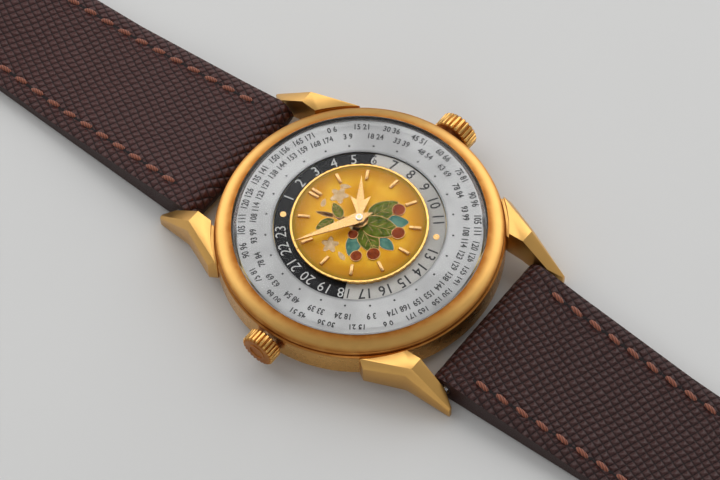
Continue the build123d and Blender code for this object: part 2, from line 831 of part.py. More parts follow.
# City drive wheel: a toothed disc over the city stem's pinion and a pinion inside the gear ring
drive_floor = plate_top + axial_gap
with BuildPart() as city_drive:
    add_wheel(city_drive_place, drive_floor, city_drive_thickness, city_drive_teeth,
              pitch_within(city_drive_teeth, city_drive_radius), 0)
    drive_pivot_end = plate_floor + pivot_depth
    add_disc(city_drive_place, drive_pivot_end, pivot_radius, drive_floor - drive_pivot_end)
    add_disc(city_drive_place, drive_floor, arbor_radius, city_gear_foot - drive_floor)
    add_wheel(city_drive_place, city_gear_foot, city_gear_height, city_pinion_teeth, city_pinion_pitch, 0)
keep(city_drive, "city_drive_wheel")

# Day and night ring with its gear ring
with BuildPart() as day_night_ring:
    with BuildSketch(Plane.XY.offset(night_top - night_thickness)):
        Circle(night_outer)
        Circle(night_inner, mode=Mode.SUBTRACT)
    extrude(amount=night_thickness)
keep(day_night_ring, "day_night_ring")

sun_phase = 0
idler_phase = meshed_phase(night_sun_teeth, sun_phase, night_idler_teeth, night_idler_heading)
night_gear_phase = meshed_phase(night_idler_teeth, idler_phase, night_gear_teeth, night_idler_heading, True)
night_gear_foot = night_top - night_thickness - night_gear_height
with BuildPart() as day_night_gear:
    with BuildSketch(Plane.XY.offset(night_gear_foot)):
        Circle(night_gear_outer)
        Polygon(*wheel_points(night_gear_teeth, night_gear_pitch, night_gear_phase, True), align=None,
                mode=Mode.SUBTRACT)
    extrude(amount=night_gear_height)
keep(day_night_gear, "day_night_gear")

with BuildPart() as idler:
    add_wheel(night_idler_place, night_gear_foot + running_gap, sun_thickness, night_idler_teeth,
              night_idler_pitch, idler_phase)
    add_disc(night_idler_place, night_gear_foot, stud_radius + bore_gap, sun_thickness * 2, Mode.SUBTRACT)
keep(idler, "day_night_idler")

# Centre of the dial: a milled cup on two feet, the enamel plate in it and the hour markers on that
enamel_top = dial_foot + dial_base_thickness + enamel_thickness
with BuildPart() as dial_base:
    with BuildSketch(Plane.XY.offset(dial_foot)):
        rim_points = []
        for tooth in range(2 * dial_rim_teeth):
            radius = dial_radius - dial_rim_groove * (tooth % 2)
            angle = pi * tooth / dial_rim_teeth
            rim_points.append((radius * cos(angle), radius * sin(angle)))
        Polygon(*rim_points, align=None)
    extrude(amount=dial_base_thickness + enamel_thickness + dial_rim_rise)
    add_disc(middle, dial_foot + dial_base_thickness, dial_radius - dial_rim_wall, overrun, Mode.SUBTRACT)
    add_disc(middle, dial_foot - overrun, dial_hole, 2 * overrun, Mode.SUBTRACT)
    for place in dial_pin_places:
        add_disc(place, plate_top - pivot_depth, dial_pin_radius, dial_foot - plate_top + pivot_depth)
keep(dial_base, "dial_base")

with BuildPart() as enamel_plate:
    add_disc(middle, dial_foot + dial_base_thickness, dial_radius - dial_rim_wall, enamel_thickness)
    add_disc(middle, dial_foot, dial_hole, overrun, Mode.SUBTRACT)
keep(enamel_plate, "enamel_plate")

with BuildPart() as hour_markers:
    with BuildSketch(Plane.XY.offset(enamel_top)):
        with PolarLocations(marker_centre_radius, marker_singles, start_angle=marker_first_heading,
                            angular_range=marker_sweep):
            Rectangle(marker_length, marker_width)
        with Locations((-marker_width / 2 - marker_double_gap, marker_centre_radius),
                       (marker_width / 2 + marker_double_gap, marker_centre_radius)):
            Rectangle(marker_width, marker_length)
    extrude(amount=marker_height, taper=marker_taper)
keep(hour_markers, "hour_markers")


def hand_plane(heading, height):
    # A horizontal plane whose Y axis runs along a hand's heading
    turn = radians(heading)
    return Plane(origin=(0, 0, height), x_dir=(sin(turn), -cos(turn), 0))


# Hour hand: a spear with two barbs on a round boss
with BuildPart() as hour_hand:
    with BuildSketch(hand_plane(hour_heading, hour_hand_z)):
        Polygon(
            (-hour_neck, 0),
            (-hour_neck, hour_neck_y),
            (-hour_barb, hour_barb_y),
            (-hour_notch, hour_notch_y),
            (0, hour_length),
            (hour_notch, hour_notch_y),
            (hour_barb, hour_barb_y),
            (hour_neck, hour_neck_y),
            (hour_neck, 0),
            align=None,
        )
        Circle(hour_boss_radius)
        Circle(hour_pipe_radius, mode=Mode.SUBTRACT)
    extrude(amount=hand_thickness)
keep(hour_hand, "hour_hand")

# Minute hand: a long leaf with a pointed tail
with BuildPart() as minute_hand:
    with BuildSketch(hand_plane(minute_heading, minute_hand_z)):
        Polygon(
            (0, minute_length),
            (-minute_half_width, minute_widest),
            (-minute_waist, -minute_waist_y),
            (0, -minute_tail),
            (minute_waist, -minute_waist_y),
            (minute_half_width, minute_widest),
            align=None,
        )
        Circle(minute_half_width)
        Circle(cannon_seat_radius, mode=Mode.SUBTRACT)
    extrude(amount=hand_thickness)
keep(minute_hand, "minute_hand")

# Motion work
cannon_pitch = pitch_radius_of(cannon_teeth, minute_wheel_teeth, motion_distance)
minute_pinion_pitch = pitch_radius_of(minute_pinion_teeth, hour_wheel_teeth, motion_distance)
hour_wheel_pitch = motion_distance - minute_pinion_pitch
minute_wheel_phase = meshed_phase(cannon_teeth, 0, minute_wheel_teeth, minute_wheel_heading)
minute_pinion_phase = meshed_phase(hour_wheel_teeth, 0, minute_pinion_teeth, minute_wheel_heading)
motion_low = plate_top + axial_gap
motion_high = motion_low + wheel_thickness + running_gap
cannon_top = minute_hand_z + hand_thickness + cap_height
with BuildPart() as cannon_pinion:
    add_wheel(middle, motion_low, wheel_thickness, cannon_teeth, cannon_pitch, 0)
    add_disc(middle, motion_low, cannon_radius, minute_hand_z - motion_low)
    add_disc(middle, minute_hand_z, cannon_seat_radius, cannon_top - minute_hand_z)
    add_disc(middle, plate_floor, arbor_radius, overrun * 2, Mode.SUBTRACT)
keep(cannon_pinion, "cannon_pinion")

with BuildPart() as minute_wheel:
    add_wheel(minute_wheel_place, motion_low, wheel_thickness, minute_wheel_teeth,
              motion_distance - cannon_pitch, minute_wheel_phase)
    add_wheel(minute_wheel_place, motion_low + wheel_thickness, wheel_thickness + running_gap,
              minute_pinion_teeth, minute_pinion_pitch, minute_pinion_phase)
    add_disc(minute_wheel_place, plate_top, stud_radius + bore_gap, overrun, Mode.SUBTRACT)
keep(minute_wheel, "minute_wheel")

with BuildPart() as hour_wheel:
    add_wheel(middle, motion_high, wheel_thickness, hour_wheel_teeth, hour_wheel_pitch, 0)
    add_disc(middle, motion_high, hour_pipe_radius, hour_hand_z + hand_thickness - motion_high)
    sun_foot = night_gear_foot + running_gap
    add_wheel(middle, sun_foot, sun_thickness, night_sun_teeth, night_sun_pitch, sun_phase)
    add_disc(middle, plate_top, cannon_radius + bore_gap, overrun, Mode.SUBTRACT)
keep(hour_wheel, "hour_wheel")

# Going train. Levels count up from the bridges to the main plate
centre_level = rim_foot + running_gap
third_level = centre_level + wheel_thickness + running_gap
barrel_level = plate_floor - axial_gap - barrel_height
fourth_level = barrel_level + wheel_thickness
escape_level = plate_floor - axial_gap - 2 * wheel_thickness
arbor_foot = rim_foot - pivot_depth
arbor_height = plate_floor + pivot_depth - arbor_foot
centre_pitch = pitch_radius_of(train_teeth, train_pinion_teeth, third_distance)
third_pitch = pitch_radius_of(train_teeth, train_pinion_teeth, fourth_distance)
fourth_pitch = pitch_radius_of(train_teeth, train_pinion_teeth, escape_distance)
barrel_pitch = pitch_radius_of(barrel_teeth, centre_pinion_teeth, barrel_distance)
third_phase = meshed_phase(train_teeth, 0, train_pinion_teeth, third_heading)
fourth_phase = meshed_phase(train_teeth, 0, train_pinion_teeth, fourth_heading)
escape_phase = meshed_phase(train_teeth, 0, train_pinion_teeth, escape_heading)
barrel_phase = meshed_phase(centre_pinion_teeth, 0, barrel_teeth, barrel_heading)

with BuildPart() as centre_wheel:
    add_wheel(middle, centre_level, wheel_thickness, train_teeth, centre_pitch, 0)
    add_wheel(middle, barrel_level, barrel_height, centre_pinion_teeth, barrel_distance - barrel_pitch, 0)
    add_disc(middle, arbor_foot, arbor_radius, cannon_top - arbor_foot)
keep(centre_wheel, "centre_wheel")

with BuildPart() as third_wheel:
    add_wheel(third_place, third_level, wheel_thickness, train_teeth, third_pitch, 0)
    add_wheel(third_place, centre_level, third_level - centre_level, train_pinion_teeth,
              third_distance - centre_pitch, third_phase)
    add_disc(third_place, arbor_foot, pivot_radius, arbor_height)
keep(third_wheel, "third_wheel")

with BuildPart() as fourth_wheel:
    add_wheel(fourth_place, fourth_level, wheel_thickness, train_teeth, fourth_pitch, 0)
    add_wheel(fourth_place, third_level, fourth_level - third_level, train_pinion_teeth,
              fourth_distance - third_pitch, fourth_phase)
    add_disc(fourth_place, arbor_foot, pivot_radius, arbor_height)
keep(fourth_wheel, "fourth_wheel")

with BuildPart() as escape_wheel:
    with BuildSketch(level(escape_place, escape_level)):
        escape_points = []
        for tooth in range(escape_teeth):
            for share, radius in escape_tooth_shares:
                angle = 2 * pi * (tooth + share) / escape_teeth
                reach = radius * escape_radius
                escape_points.append((reach * cos(angle), reach * sin(angle)))
        Polygon(*escape_points, align=None)
    extrude(amount=wheel_thickness)
    add_wheel(escape_place, fourth_level, escape_level - fourth_level, train_pinion_teeth,
              escape_distance - fourth_pitch, escape_phase)
    add_disc(escape_place, arbor_foot, pivot_radius, arbor_height)
keep(escape_wheel, "escape_wheel")

# Mainspring barrel: an open drum with a toothed wall, the coiled spring, and the arbor in its middle
barrel_cup = barrel_pitch * (1 - 2 * tooth_root_share / barrel_teeth) - barrel_wall
with BuildPart() as barrel:
    add_wheel(barrel_place, barrel_level, barrel_height, barrel_teeth, barrel_pitch, barrel_phase)
    add_disc(barrel_place, barrel_level, barrel_cup, barrel_height - barrel_floor, Mode.SUBTRACT)
    add_disc(barrel_place, barrel_level, barrel_arbor_radius + bore_gap, barrel_height, Mode.SUBTRACT)
keep(barrel, "mainspring_barrel")


def spiral(turns, start, pitch, width, place, height, thickness):
    # A flat spring of half turns about two centres in turn, each a step wider than the last
    half_step = pitch / 2
    with BuildSketch(level(place, height)) as coil:
        with BuildLine() as path:
            radius = start
            x = start
            for half in range(2 * turns):
                centre = x - radius if half % 2 == 0 else x + radius
                far = centre - radius if half % 2 == 0 else centre + radius
                top = radius if half % 2 == 0 else -radius
                ThreePointArc((x, 0), (centre, top), (far, 0))
                x = far
                radius += half_step
        trace(path.line, line_width=width)
    extrude(coil.sketch, amount=thickness)


with BuildPart() as mainspring:
    spiral(mainspring_turns, mainspring_start, mainspring_pitch, mainspring_width, barrel_place,
           barrel_level + axial_gap, barrel_height - barrel_floor - 2 * axial_gap)
keep(mainspring, "mainspring")

arbor_end = bridge_foot - keyless_wheel_thickness - axial_gap
with BuildPart() as barrel_arbor:
    add_disc(barrel_place, arbor_end, barrel_arbor_radius, plate_floor + pivot_depth - arbor_end)
keep(barrel_arbor, "barrel_arbor")

# Bridges: pieces of one disc, each seated on the rim and on its pillars
bridge_plans = {
    "barrel_bridge": ((-1, 0.17), (0.09, 0.17), (0.53, -0.25), (1, -0.25), (1, 1), (-1, 1)),
    "train_bridge": ((-1, 0.16), (0.08, 0.16), (0.17, 0.06), (0.17, -0.2), (0.2, -0.5), (0.2, -1), (-1, -1)),
    "balance_cock": ((0.3, -0.46), (0.5, -0.45), (0.84, -0.62), (0.84, -0.9), (0.5, -0.9), (0.3, -0.62)),
}
bridge_pivots = {
    "barrel_bridge": (crown_wheel_place,),
    "train_bridge": (third_place, fourth_place, escape_place, pallet_place),
    "balance_cock": (balance_place,),
}
click_place = away(barrel_place, ratchet_pitch + click_reach, click_heading)
for label, plan_shares in bridge_plans.items():
    with BuildPart() as bridge:
        add_disc(middle, bridge_foot, plate_radius - fit_gap, bridge_thickness)
        with BuildSketch(Plane.XY.offset(bridge_foot)):
            Polygon(*[(plate_radius * x, plate_radius * y) for x, y in plan_shares], align=None)
        extrude(amount=bridge_thickness, mode=Mode.INTERSECT)
        for place in bridge_pivots[label]:
            add_disc(place, rim_foot - pivot_depth, pivot_radius + bore_gap, pivot_depth, Mode.SUBTRACT)
        for place in pillar_places:
            add_disc(place, bridge_foot, screw_shank_radius, bridge_thickness, Mode.SUBTRACT)
        if label == "barrel_bridge":
            for place, radius in ((barrel_place, barrel_arbor_radius), (crown_wheel_place, stud_radius)):
                add_disc(place, bridge_foot, radius + bore_gap, bridge_thickness, Mode.SUBTRACT)
            add_disc(click_place, arbor_end, pivot_radius, bridge_foot - arbor_end)
        if label == "train_bridge":
            add_disc(middle, bridge_foot, arbor_radius + bore_gap, bridge_thickness, Mode.SUBTRACT)
    keep(bridge, label)

with BuildPart() as bridge_screws:
    for place in pillar_places:
        add_disc(place, bridge_foot, screw_shank_radius, bridge_thickness + rim_depth * pillar_screw_share)
        add_disc(place, bridge_foot - screw_head_height, screw_radius, screw_head_height)
keep(bridge_screws, "bridge_screws")

# Pallet fork: an anchor at the escape wheel and a forked arm toward the balance
with BuildPart() as pallet_fork:
    fork_span = (balance_place[0] - pallet_place[0], balance_place[1] - pallet_place[1])
    fork_reach = hypot(*fork_span) - roller_radius - 2 * axial_gap
    anchor_span = hypot(escape_place[0] - pallet_place[0], escape_place[1] - pallet_place[1])
    anchor_reach = anchor_span - escape_radius - axial_gap
    with BuildSketch(Plane(origin=(*pallet_place, escape_level), x_dir=(*fork_span, 0))):
        Polygon(
            (-anchor_reach, -fork_arm),
            (-anchor_reach + 2 * fork_half_width, -fork_arm),
            (fork_half_width, -2 * fork_half_width),
            (fork_reach, -fork_half_width),
            (fork_reach, fork_half_width),
            (fork_half_width, 2 * fork_half_width),
            (-anchor_reach + 2 * fork_half_width, fork_arm),
            (-anchor_reach, fork_arm),
            (-fork_half_width, 0),
            align=None,
        )
    extrude(amount=wheel_thickness)
    add_disc(pallet_place, arbor_foot, pivot_radius, arbor_height)
keep(pallet_fork, "pallet_fork")

# Balance wheel: a rim, two arms and a roller, with its hairspring
balance_level = rim_foot + 2 * axial_gap
with BuildPart() as balance_wheel:
    with BuildSketch(level(balance_place, balance_level)):
        Circle(balance_radius)
        Circle(balance_radius - balance_rim, mode=Mode.SUBTRACT)
        Rectangle(2 * balance_radius - balance_rim, balance_rim)
    extrude(amount=balance_thickness)
    add_disc(balance_place, balance_level, roller_radius, balance_thickness + wheel_thickness)
    add_disc(balance_place, arbor_foot, pivot_radius, arbor_height)
keep(balance_wheel, "balance_wheel")

with BuildPart() as hairspring:
    spiral(hairspring_turns, hairspring_start, hairspring_pitch, hairspring_width, balance_place,
           balance_level + balance_thickness + running_gap, hairspring_width)
    with BuildSketch(level(balance_place, balance_level + balance_thickness + running_gap)):
        Circle(hairspring_start + hairspring_width / 2)
        Circle(roller_radius, mode=Mode.SUBTRACT)
    extrude(amount=hairspring_width)
keep(hairspring, "hairspring")

# Keyless work on both sides of the barrel bridge
wheel_foot = bridge_foot - running_gap - keyless_wheel_thickness
ratchet_phase = meshed_phase(crown_wheel_teeth, 0, ratchet_teeth, crown_mesh_heading + 180)
with BuildPart() as ratchet_wheel:
    add_wheel(barrel_place, wheel_foot, keyless_wheel_thickness, ratchet_teeth, ratchet_pitch, ratchet_phase)
    add_disc(barrel_place, wheel_foot, barrel_arbor_radius, keyless_wheel_thickness, Mode.SUBTRACT)
keep(ratchet_wheel, "ratchet_wheel")

with BuildPart() as crown_wheel:
    add_wheel(crown_wheel_place, wheel_foot, keyless_wheel_thickness, crown_wheel_teeth,
              crown_wheel_pitch, 0)
    add_disc(crown_wheel_place, wheel_foot, stud_radius, rim_foot + running_gap - wheel_foot)
keep(crown_wheel, "crown_wheel")

contrate_top = crown_axis_z - winding_pinion_radius - running_gap
with BuildPart() as contrate_wheel:
    contrate_foot = rim_foot + running_gap
    contrate_floor = contrate_foot + wheel_thickness
    add_disc(crown_wheel_place, contrate_foot, contrate_radius, contrate_top - contrate_foot)
    add_disc(crown_wheel_place, contrate_floor, contrate_radius - contrate_wall, overrun, Mode.SUBTRACT)
    with BuildSketch(level(crown_wheel_place, contrate_top - contrate_tooth)):
        with PolarLocations(contrate_radius, contrate_teeth):
            Rectangle(contrate_slot_length, contrate_tooth)
    extrude(amount=contrate_tooth, mode=Mode.SUBTRACT)
    add_disc(crown_wheel_place, contrate_foot, pivot_radius, plate_floor + pivot_depth - contrate_foot)
keep(contrate_wheel, "contrate_wheel")

with BuildPart() as click:
    with BuildSketch(level(click_place, wheel_foot)):
        Circle(click_radius)
        inward_heading = radians(click_heading + 180)
        nose = click_reach - axial_gap - tooth_tip_share * 2 * ratchet_pitch / ratchet_teeth
        Polygon(
            (click_radius * sin(inward_heading), -click_radius * cos(inward_heading)),
            (nose * cos(inward_heading), nose * sin(inward_heading)),
            (-click_radius * sin(inward_heading), click_radius * cos(inward_heading)),
            align=None,
        )
        Circle(pivot_radius + bore_gap, mode=Mode.SUBTRACT)
    extrude(amount=keyless_wheel_thickness)
keep(click, "click")

# Winding pinion and sliding clutch round the stem
with BuildPart() as winding_pinion:
    with BuildSketch(Plane(origin=(pinion_x, 0, crown_axis_z), z_dir=(1, 0, 0))):
        pinion_pitch = pitch_within(winding_pinion_teeth, winding_pinion_radius)
        Polygon(*wheel_points(winding_pinion_teeth, pinion_pitch, 90), align=None)
        Circle(stem_radius + bore_gap, mode=Mode.SUBTRACT)
    extrude(amount=winding_pinion_length)
keep(winding_pinion, "winding_pinion")

with BuildPart() as sliding_clutch:
    with BuildSketch(Plane(origin=(clutch_x, 0, crown_axis_z), z_dir=(1, 0, 0))):
        Circle(winding_pinion_radius)
        Circle(stem_radius + bore_gap, mode=Mode.SUBTRACT)
    extrude(amount=clutch_length)
    groove_start = clutch_x + clutch_length * clutch_groove_share
    with BuildSketch(Plane(origin=(groove_start, 0, crown_axis_z), z_dir=(1, 0, 0))):
        Circle(winding_pinion_radius)
        Circle(winding_pinion_radius - clutch_groove_depth, mode=Mode.SUBTRACT)
    extrude(amount=clutch_length * clutch_groove_share, mode=Mode.SUBTRACT)
keep(sliding_clutch, "sliding_clutch")


def strap_half_width(y):
    share = min(1, max(0, (y - bar_y) / (strap_taper_end - bar_y)))
    return (strap_width + share * (strap_end_width - strap_width)) / 2


# Strap half at six o'clock: one profile along its length, cut to a plan that tapers to a pointed end
strap_foot = bar_z - strap_thickness / 2
with BuildPart() as long_strap:
    with BuildSketch(Plane.YZ):
        with BuildLine():
            Line((-bar_y, strap_foot), (-long_strap_end, strap_foot))
            Polyline(
                (-long_strap_end, strap_foot),
                (-long_strap_end, strap_foot + strap_thin),
                (-strap_thin_y, strap_foot + strap_thin),
                (-bar_y, strap_foot + strap_thickness),
            )
            ThreePointArc(
                (-bar_y, strap_foot + strap_thickness),
                (-bar_y + strap_thickness / 2, bar_z),
                (-bar_y, strap_foot),
            )
        make_face()
    extrude(amount=strap_width, both=True)
    with BuildSketch():
        with BuildLine():
            shoulder = -long_strap_end + long_strap_point
            start = -bar_y + strap_thickness
            corner = strap_end_width / 2
            Polyline((corner, shoulder), (corner, -strap_taper_end), (strap_width / 2, -bar_y),
                     (strap_width / 2, start), (-strap_width / 2, start), (-strap_width / 2, -bar_y),
                     (-corner, -strap_taper_end), (-corner, shoulder))
            RadiusArc((-corner, shoulder), (0, -long_strap_end), -strap_end_width)
            RadiusArc((0, -long_strap_end), (corner, shoulder), -strap_end_width)
        make_face()
    extrude(amount=2 * strap_thickness, mode=Mode.INTERSECT)
    with BuildSketch(Plane(origin=(-strap_width, -bar_y, bar_z), z_dir=(1, 0, 0))):
        Circle(bar_radius + bore_gap)
    extrude(amount=2 * strap_width, mode=Mode.SUBTRACT)
    with BuildSketch():
        with Locations(*[(0, -long_strap_end + strap_hole_first + hole * strap_hole_pitch)
                         for hole in range(strap_holes)]):
            Circle(strap_hole_radius)
    extrude(amount=2 * strap_thickness, mode=Mode.SUBTRACT)
keep(long_strap, "strap_six")

# Strap half at twelve o'clock: lifted toward the buckle by the loops under it, folded round the buckle's bar
buckle_bar_z = strap_foot + strap_lift + strap_thin / 2
with BuildPart() as short_strap:
    with BuildSketch(Plane.YZ):
        with BuildLine():
            ThreePointArc(
                (bar_y, strap_foot),
                (bar_y - strap_thickness / 2, bar_z),
                (bar_y, strap_foot + strap_thickness),
            )
            Polyline(
                (bar_y, strap_foot + strap_thickness),
                (strap_thin_y, strap_foot + strap_thin),
                (strap_ramp_y, strap_foot + strap_thin),
                (strap_ramp_end_y, strap_foot + strap_lift + strap_thin),
                (buckle_bar_y, strap_foot + strap_lift + strap_thin),
                (buckle_bar_y, strap_foot + strap_lift),
                (strap_ramp_end_y, strap_foot + strap_lift),
                (strap_ramp_y, strap_foot),
                (bar_y, strap_foot),
            )
        make_face()
    extrude(amount=strap_width, both=True)
    with BuildSketch(Plane(origin=(-strap_width, buckle_bar_y, buckle_bar_z), z_dir=(1, 0, 0))):
        Circle(strap_fold_radius)
    extrude(amount=2 * strap_width)
    with BuildSketch():
        end_y = buckle_bar_y + strap_fold_radius
        Polygon(
            (corner, end_y),
            (corner, strap_taper_end),
            (strap_width / 2, bar_y),
            (strap_width / 2, -start),
            (-strap_width / 2, -start),
            (-strap_width / 2, bar_y),
            (-corner, strap_taper_end),
            (-corner, end_y),
            align=None,
        )
    extrude(amount=2 * strap_thickness, mode=Mode.INTERSECT)
    for y, z, radius in ((bar_y, bar_z, bar_radius), (buckle_bar_y, buckle_bar_z, buckle_bar_radius)):
        with BuildSketch(Plane(origin=(-strap_width, y, z), z_dir=(1, 0, 0))):
            Circle(radius + bore_gap)
        extrude(amount=2 * strap_width, mode=Mode.SUBTRACT)
    with BuildSketch():
        with Locations((0, buckle_bar_y + strap_fold_radius - strap_slot_length / 2)):
            Rectangle(strap_slot_width, strap_slot_length)
    extrude(amount=2 * strap_thickness, mode=Mode.SUBTRACT)
keep(short_strap, "strap_twelve")

# Keepers: one stitched near the buckle, one free to slide
for y, label in ((keeper_fixed_y, "fixed_keeper"), (keeper_free_y, "free_keeper")):
    inner_half = strap_half_width(y - keeper_width) + soft_gap
    keeper_foot = strap_foot + strap_lift - keeper_rest_gap
    with BuildPart() as keeper:
        with BuildSketch(Plane(origin=(0, y + keeper_width / 2, keeper_foot + keeper_height / 2),
                               x_dir=(1, 0, 0), z_dir=(0, 1, 0))):
            RectangleRounded(2 * (inner_half + keeper_wall), keeper_height + 2 * keeper_wall, keeper_wall)
            Rectangle(2 * inner_half, keeper_height, mode=Mode.SUBTRACT)
        extrude(amount=-keeper_width)
    keep(keeper, label)

# Buckle: a bow with two ears, its bar, and the tongue that lies on the bow
ear_inner = strap_end_width / 2 + soft_gap
bow_y = buckle_bar_y + buckle_depth
bar_plane = Plane(origin=(-ear_inner - buckle_wall / 2, buckle_bar_y, buckle_bar_z), z_dir=(1, 0, 0))
with BuildPart() as buckle:
    with BuildSketch(Plane.XY.offset(buckle_bar_z - buckle_thickness / 2)):
        ear_start = buckle_bar_y - buckle_thickness / 2
        with Locations((0, (ear_start + bow_y) / 2)):
            RectangleRounded(2 * (ear_inner + buckle_wall), bow_y - ear_start, buckle_corner)
        with Locations((0, (ear_start + bow_y) / 2 - buckle_bow)):
            RectangleRounded(2 * ear_inner, bow_y - ear_start, buckle_corner / 2, mode=Mode.SUBTRACT)
    extrude(amount=buckle_thickness)
    for way in (1, -1):
        with BuildSketch(Plane(origin=(way * ear_inner, buckle_bar_y, buckle_bar_z), z_dir=(way, 0, 0))):
            Circle(buckle_thickness / 2)
        extrude(amount=buckle_wall)
    with BuildSketch(bar_plane):
        Circle(buckle_bar_radius)
    extrude(amount=2 * ear_inner + buckle_wall, mode=Mode.SUBTRACT)
keep(buckle, "buckle_frame")

with BuildPart() as buckle_bar:
    with BuildSketch(bar_plane):
        Circle(buckle_bar_radius)
    extrude(amount=2 * ear_inner + buckle_wall)
keep(buckle_bar, "buckle_bar")

with BuildPart() as tongue:
    rest_z = buckle_bar_z + buckle_thickness / 2 + running_gap
    tip_y = bow_y + tongue_overhang
    with BuildSketch(Plane.YZ):
        with BuildLine():
            Polyline(
                (buckle_bar_y, buckle_bar_z),
                (buckle_bar_y, buckle_bar_z + tongue_eye_radius),
                (bow_y - buckle_bow, rest_z + tongue_thickness),
                (bow_y, rest_z + tongue_thickness * tongue_bow_share),
                (tip_y, rest_z + tongue_thickness * tongue_tip_share),
                (tip_y, rest_z),
                (bow_y - buckle_bow, rest_z),
                close=True,
            )
        make_face()
    extrude(amount=tongue_width / 2, both=True)
    with BuildSketch(Plane(origin=(-tongue_width / 2, buckle_bar_y, buckle_bar_z), z_dir=(1, 0, 0))):
        Circle(tongue_eye_radius)
    extrude(amount=tongue_width)
    with BuildSketch(Plane(origin=(-tongue_width, buckle_bar_y, buckle_bar_z), z_dir=(1, 0, 0))):
        Circle(buckle_bar_radius + bore_gap)
    extrude(amount=2 * tongue_width, mode=Mode.SUBTRACT)
keep(tongue, "buckle_tongue")
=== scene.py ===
# %% [markdown]
# # A world time wristwatch
#
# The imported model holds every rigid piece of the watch, from the case to the smallest wheel. This script
# dresses it: each piece gets its finish, hard edges get the small rounding that a polisher leaves, and the
# strap, its stitching, the printed dials and the enamel work are modelled new, because they are soft or too
# fine for the solid model. Everything is in metres and stands where the model says.

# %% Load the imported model
import json
import math

import bpy
from mathutils import Matrix, Vector


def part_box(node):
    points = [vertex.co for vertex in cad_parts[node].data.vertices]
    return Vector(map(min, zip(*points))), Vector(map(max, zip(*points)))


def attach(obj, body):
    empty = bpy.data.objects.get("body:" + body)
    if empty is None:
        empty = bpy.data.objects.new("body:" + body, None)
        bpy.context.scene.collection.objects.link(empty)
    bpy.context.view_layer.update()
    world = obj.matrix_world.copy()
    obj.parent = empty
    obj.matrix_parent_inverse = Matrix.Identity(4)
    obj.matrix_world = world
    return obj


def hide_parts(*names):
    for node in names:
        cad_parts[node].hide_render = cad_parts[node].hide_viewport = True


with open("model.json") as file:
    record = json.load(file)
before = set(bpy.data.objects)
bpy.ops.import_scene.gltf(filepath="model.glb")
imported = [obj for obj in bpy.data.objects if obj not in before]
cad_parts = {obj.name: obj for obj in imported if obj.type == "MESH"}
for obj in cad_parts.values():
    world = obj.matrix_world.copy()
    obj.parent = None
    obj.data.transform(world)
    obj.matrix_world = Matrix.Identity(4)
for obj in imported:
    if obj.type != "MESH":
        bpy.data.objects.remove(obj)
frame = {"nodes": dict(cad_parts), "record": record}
nodes = frame["nodes"]
bodies = frame["record"]["behaviour"]["bodies"]
body_of = {node: body for body, members in bodies.items() for node in members}
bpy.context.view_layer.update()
mm = 0.001


# %% [markdown]
# ## Small tools
#
# Most operators act on whatever is selected, so one helper selects a single piece. Two more end a piece:
# its place is applied into its mesh, and it is given a finish and a body to ride on, and the model's nodes
# that it stands for are hidden.

# %% Select one piece, and finish a piece
def pick(piece):
    if bpy.context.object and bpy.context.object.mode != "OBJECT":
        bpy.ops.object.mode_set(mode="OBJECT")
    bpy.ops.object.select_all(action="DESELECT")
    piece.select_set(True)
    bpy.context.view_layer.objects.active = piece


def apply_place(piece):
    pick(piece)
    bpy.ops.object.transform_apply(location=True, rotation=True, scale=True)


def apply_modifier(piece, kind, **settings):
    modifier = piece.modifiers.new(kind.lower(), kind)
    for name, value in settings.items():
        setattr(modifier, name, value)
    pick(piece)
    bpy.ops.object.modifier_apply(modifier=modifier.name)


def face_outwards(piece):
    pick(piece)
    bpy.ops.object.mode_set(mode="EDIT")
    bpy.ops.mesh.select_all(action="SELECT")
    bpy.ops.mesh.normals_make_consistent(inside=False)
    bpy.ops.object.mode_set(mode="OBJECT")


def join(pieces, name):
    pick(pieces[0])
    for piece in pieces[1:]:
        piece.select_set(True)
    bpy.ops.object.join()
    joined = bpy.context.object
    joined.name = name
    apply_place(joined)
    return joined


def dress(piece, finish):
    piece.data.materials.clear()
    piece.data.materials.append(finish)


def seat(piece, finish, body, stands_for=()):
    dress(piece, finish)
    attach(piece, body)
    if stands_for:
        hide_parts(*stands_for)


# %% [markdown]
# ## Finishes
#
# A finish is a graph of shader nodes. The helpers add a node, feed its inputs from numbers or from other
# nodes, and return what it gives out. Patterns read object coordinates in millimetres, so their scale can
# be read off a ruler.

# %% Helpers for shader graphs
def new_finish(name, **sockets):
    finish = bpy.data.materials.new(name)
    finish.use_nodes = True
    shader = finish.node_tree.nodes["Principled BSDF"]
    for socket, value in sockets.items():
        shader.inputs[socket.replace("_", " ")].default_value = value
    return finish


def add(finish, kind, inputs=None, **settings):
    made = finish.node_tree.nodes.new("ShaderNode" + kind)
    for name, value in settings.items():
        setattr(made, name, value)
    for name, value in (inputs or {}).items():
        if isinstance(value, bpy.types.NodeSocket):
            finish.node_tree.links.new(value, made.inputs[name])
        else:
            made.inputs[name].default_value = value
    return made


def feed(finish, socket, value):
    finish.node_tree.links.new(value, finish.node_tree.nodes["Principled BSDF"].inputs[socket])


def millimetres(finish, stretch=(1, 1, 1), turn=0):
    place = add(finish, "TexCoord").outputs["Object"]
    scale = tuple(share / mm for share in stretch)
    inputs = {"Vector": place, "Scale": scale, "Rotation": (0, 0, turn)}
    return add(finish, "Mapping", inputs).outputs[0]


def noise(finish, vector, scale, detail=3.0):
    return add(finish, "TexNoise", {"Vector": vector, "Scale": scale, "Detail": detail}).outputs["Fac"]


def sums(finish, operation, first, second):
    inputs = {0: first, 1: second}
    return add(finish, "Math", inputs, operation=operation).outputs[0]


def remap(finish, value, low, high, to_low=0.0, to_high=1.0):
    inputs = {"Value": value, "From Min": low, "From Max": high, "To Min": to_low, "To Max": to_high}
    return add(finish, "MapRange", inputs, interpolation_type="SMOOTHSTEP").outputs[0]


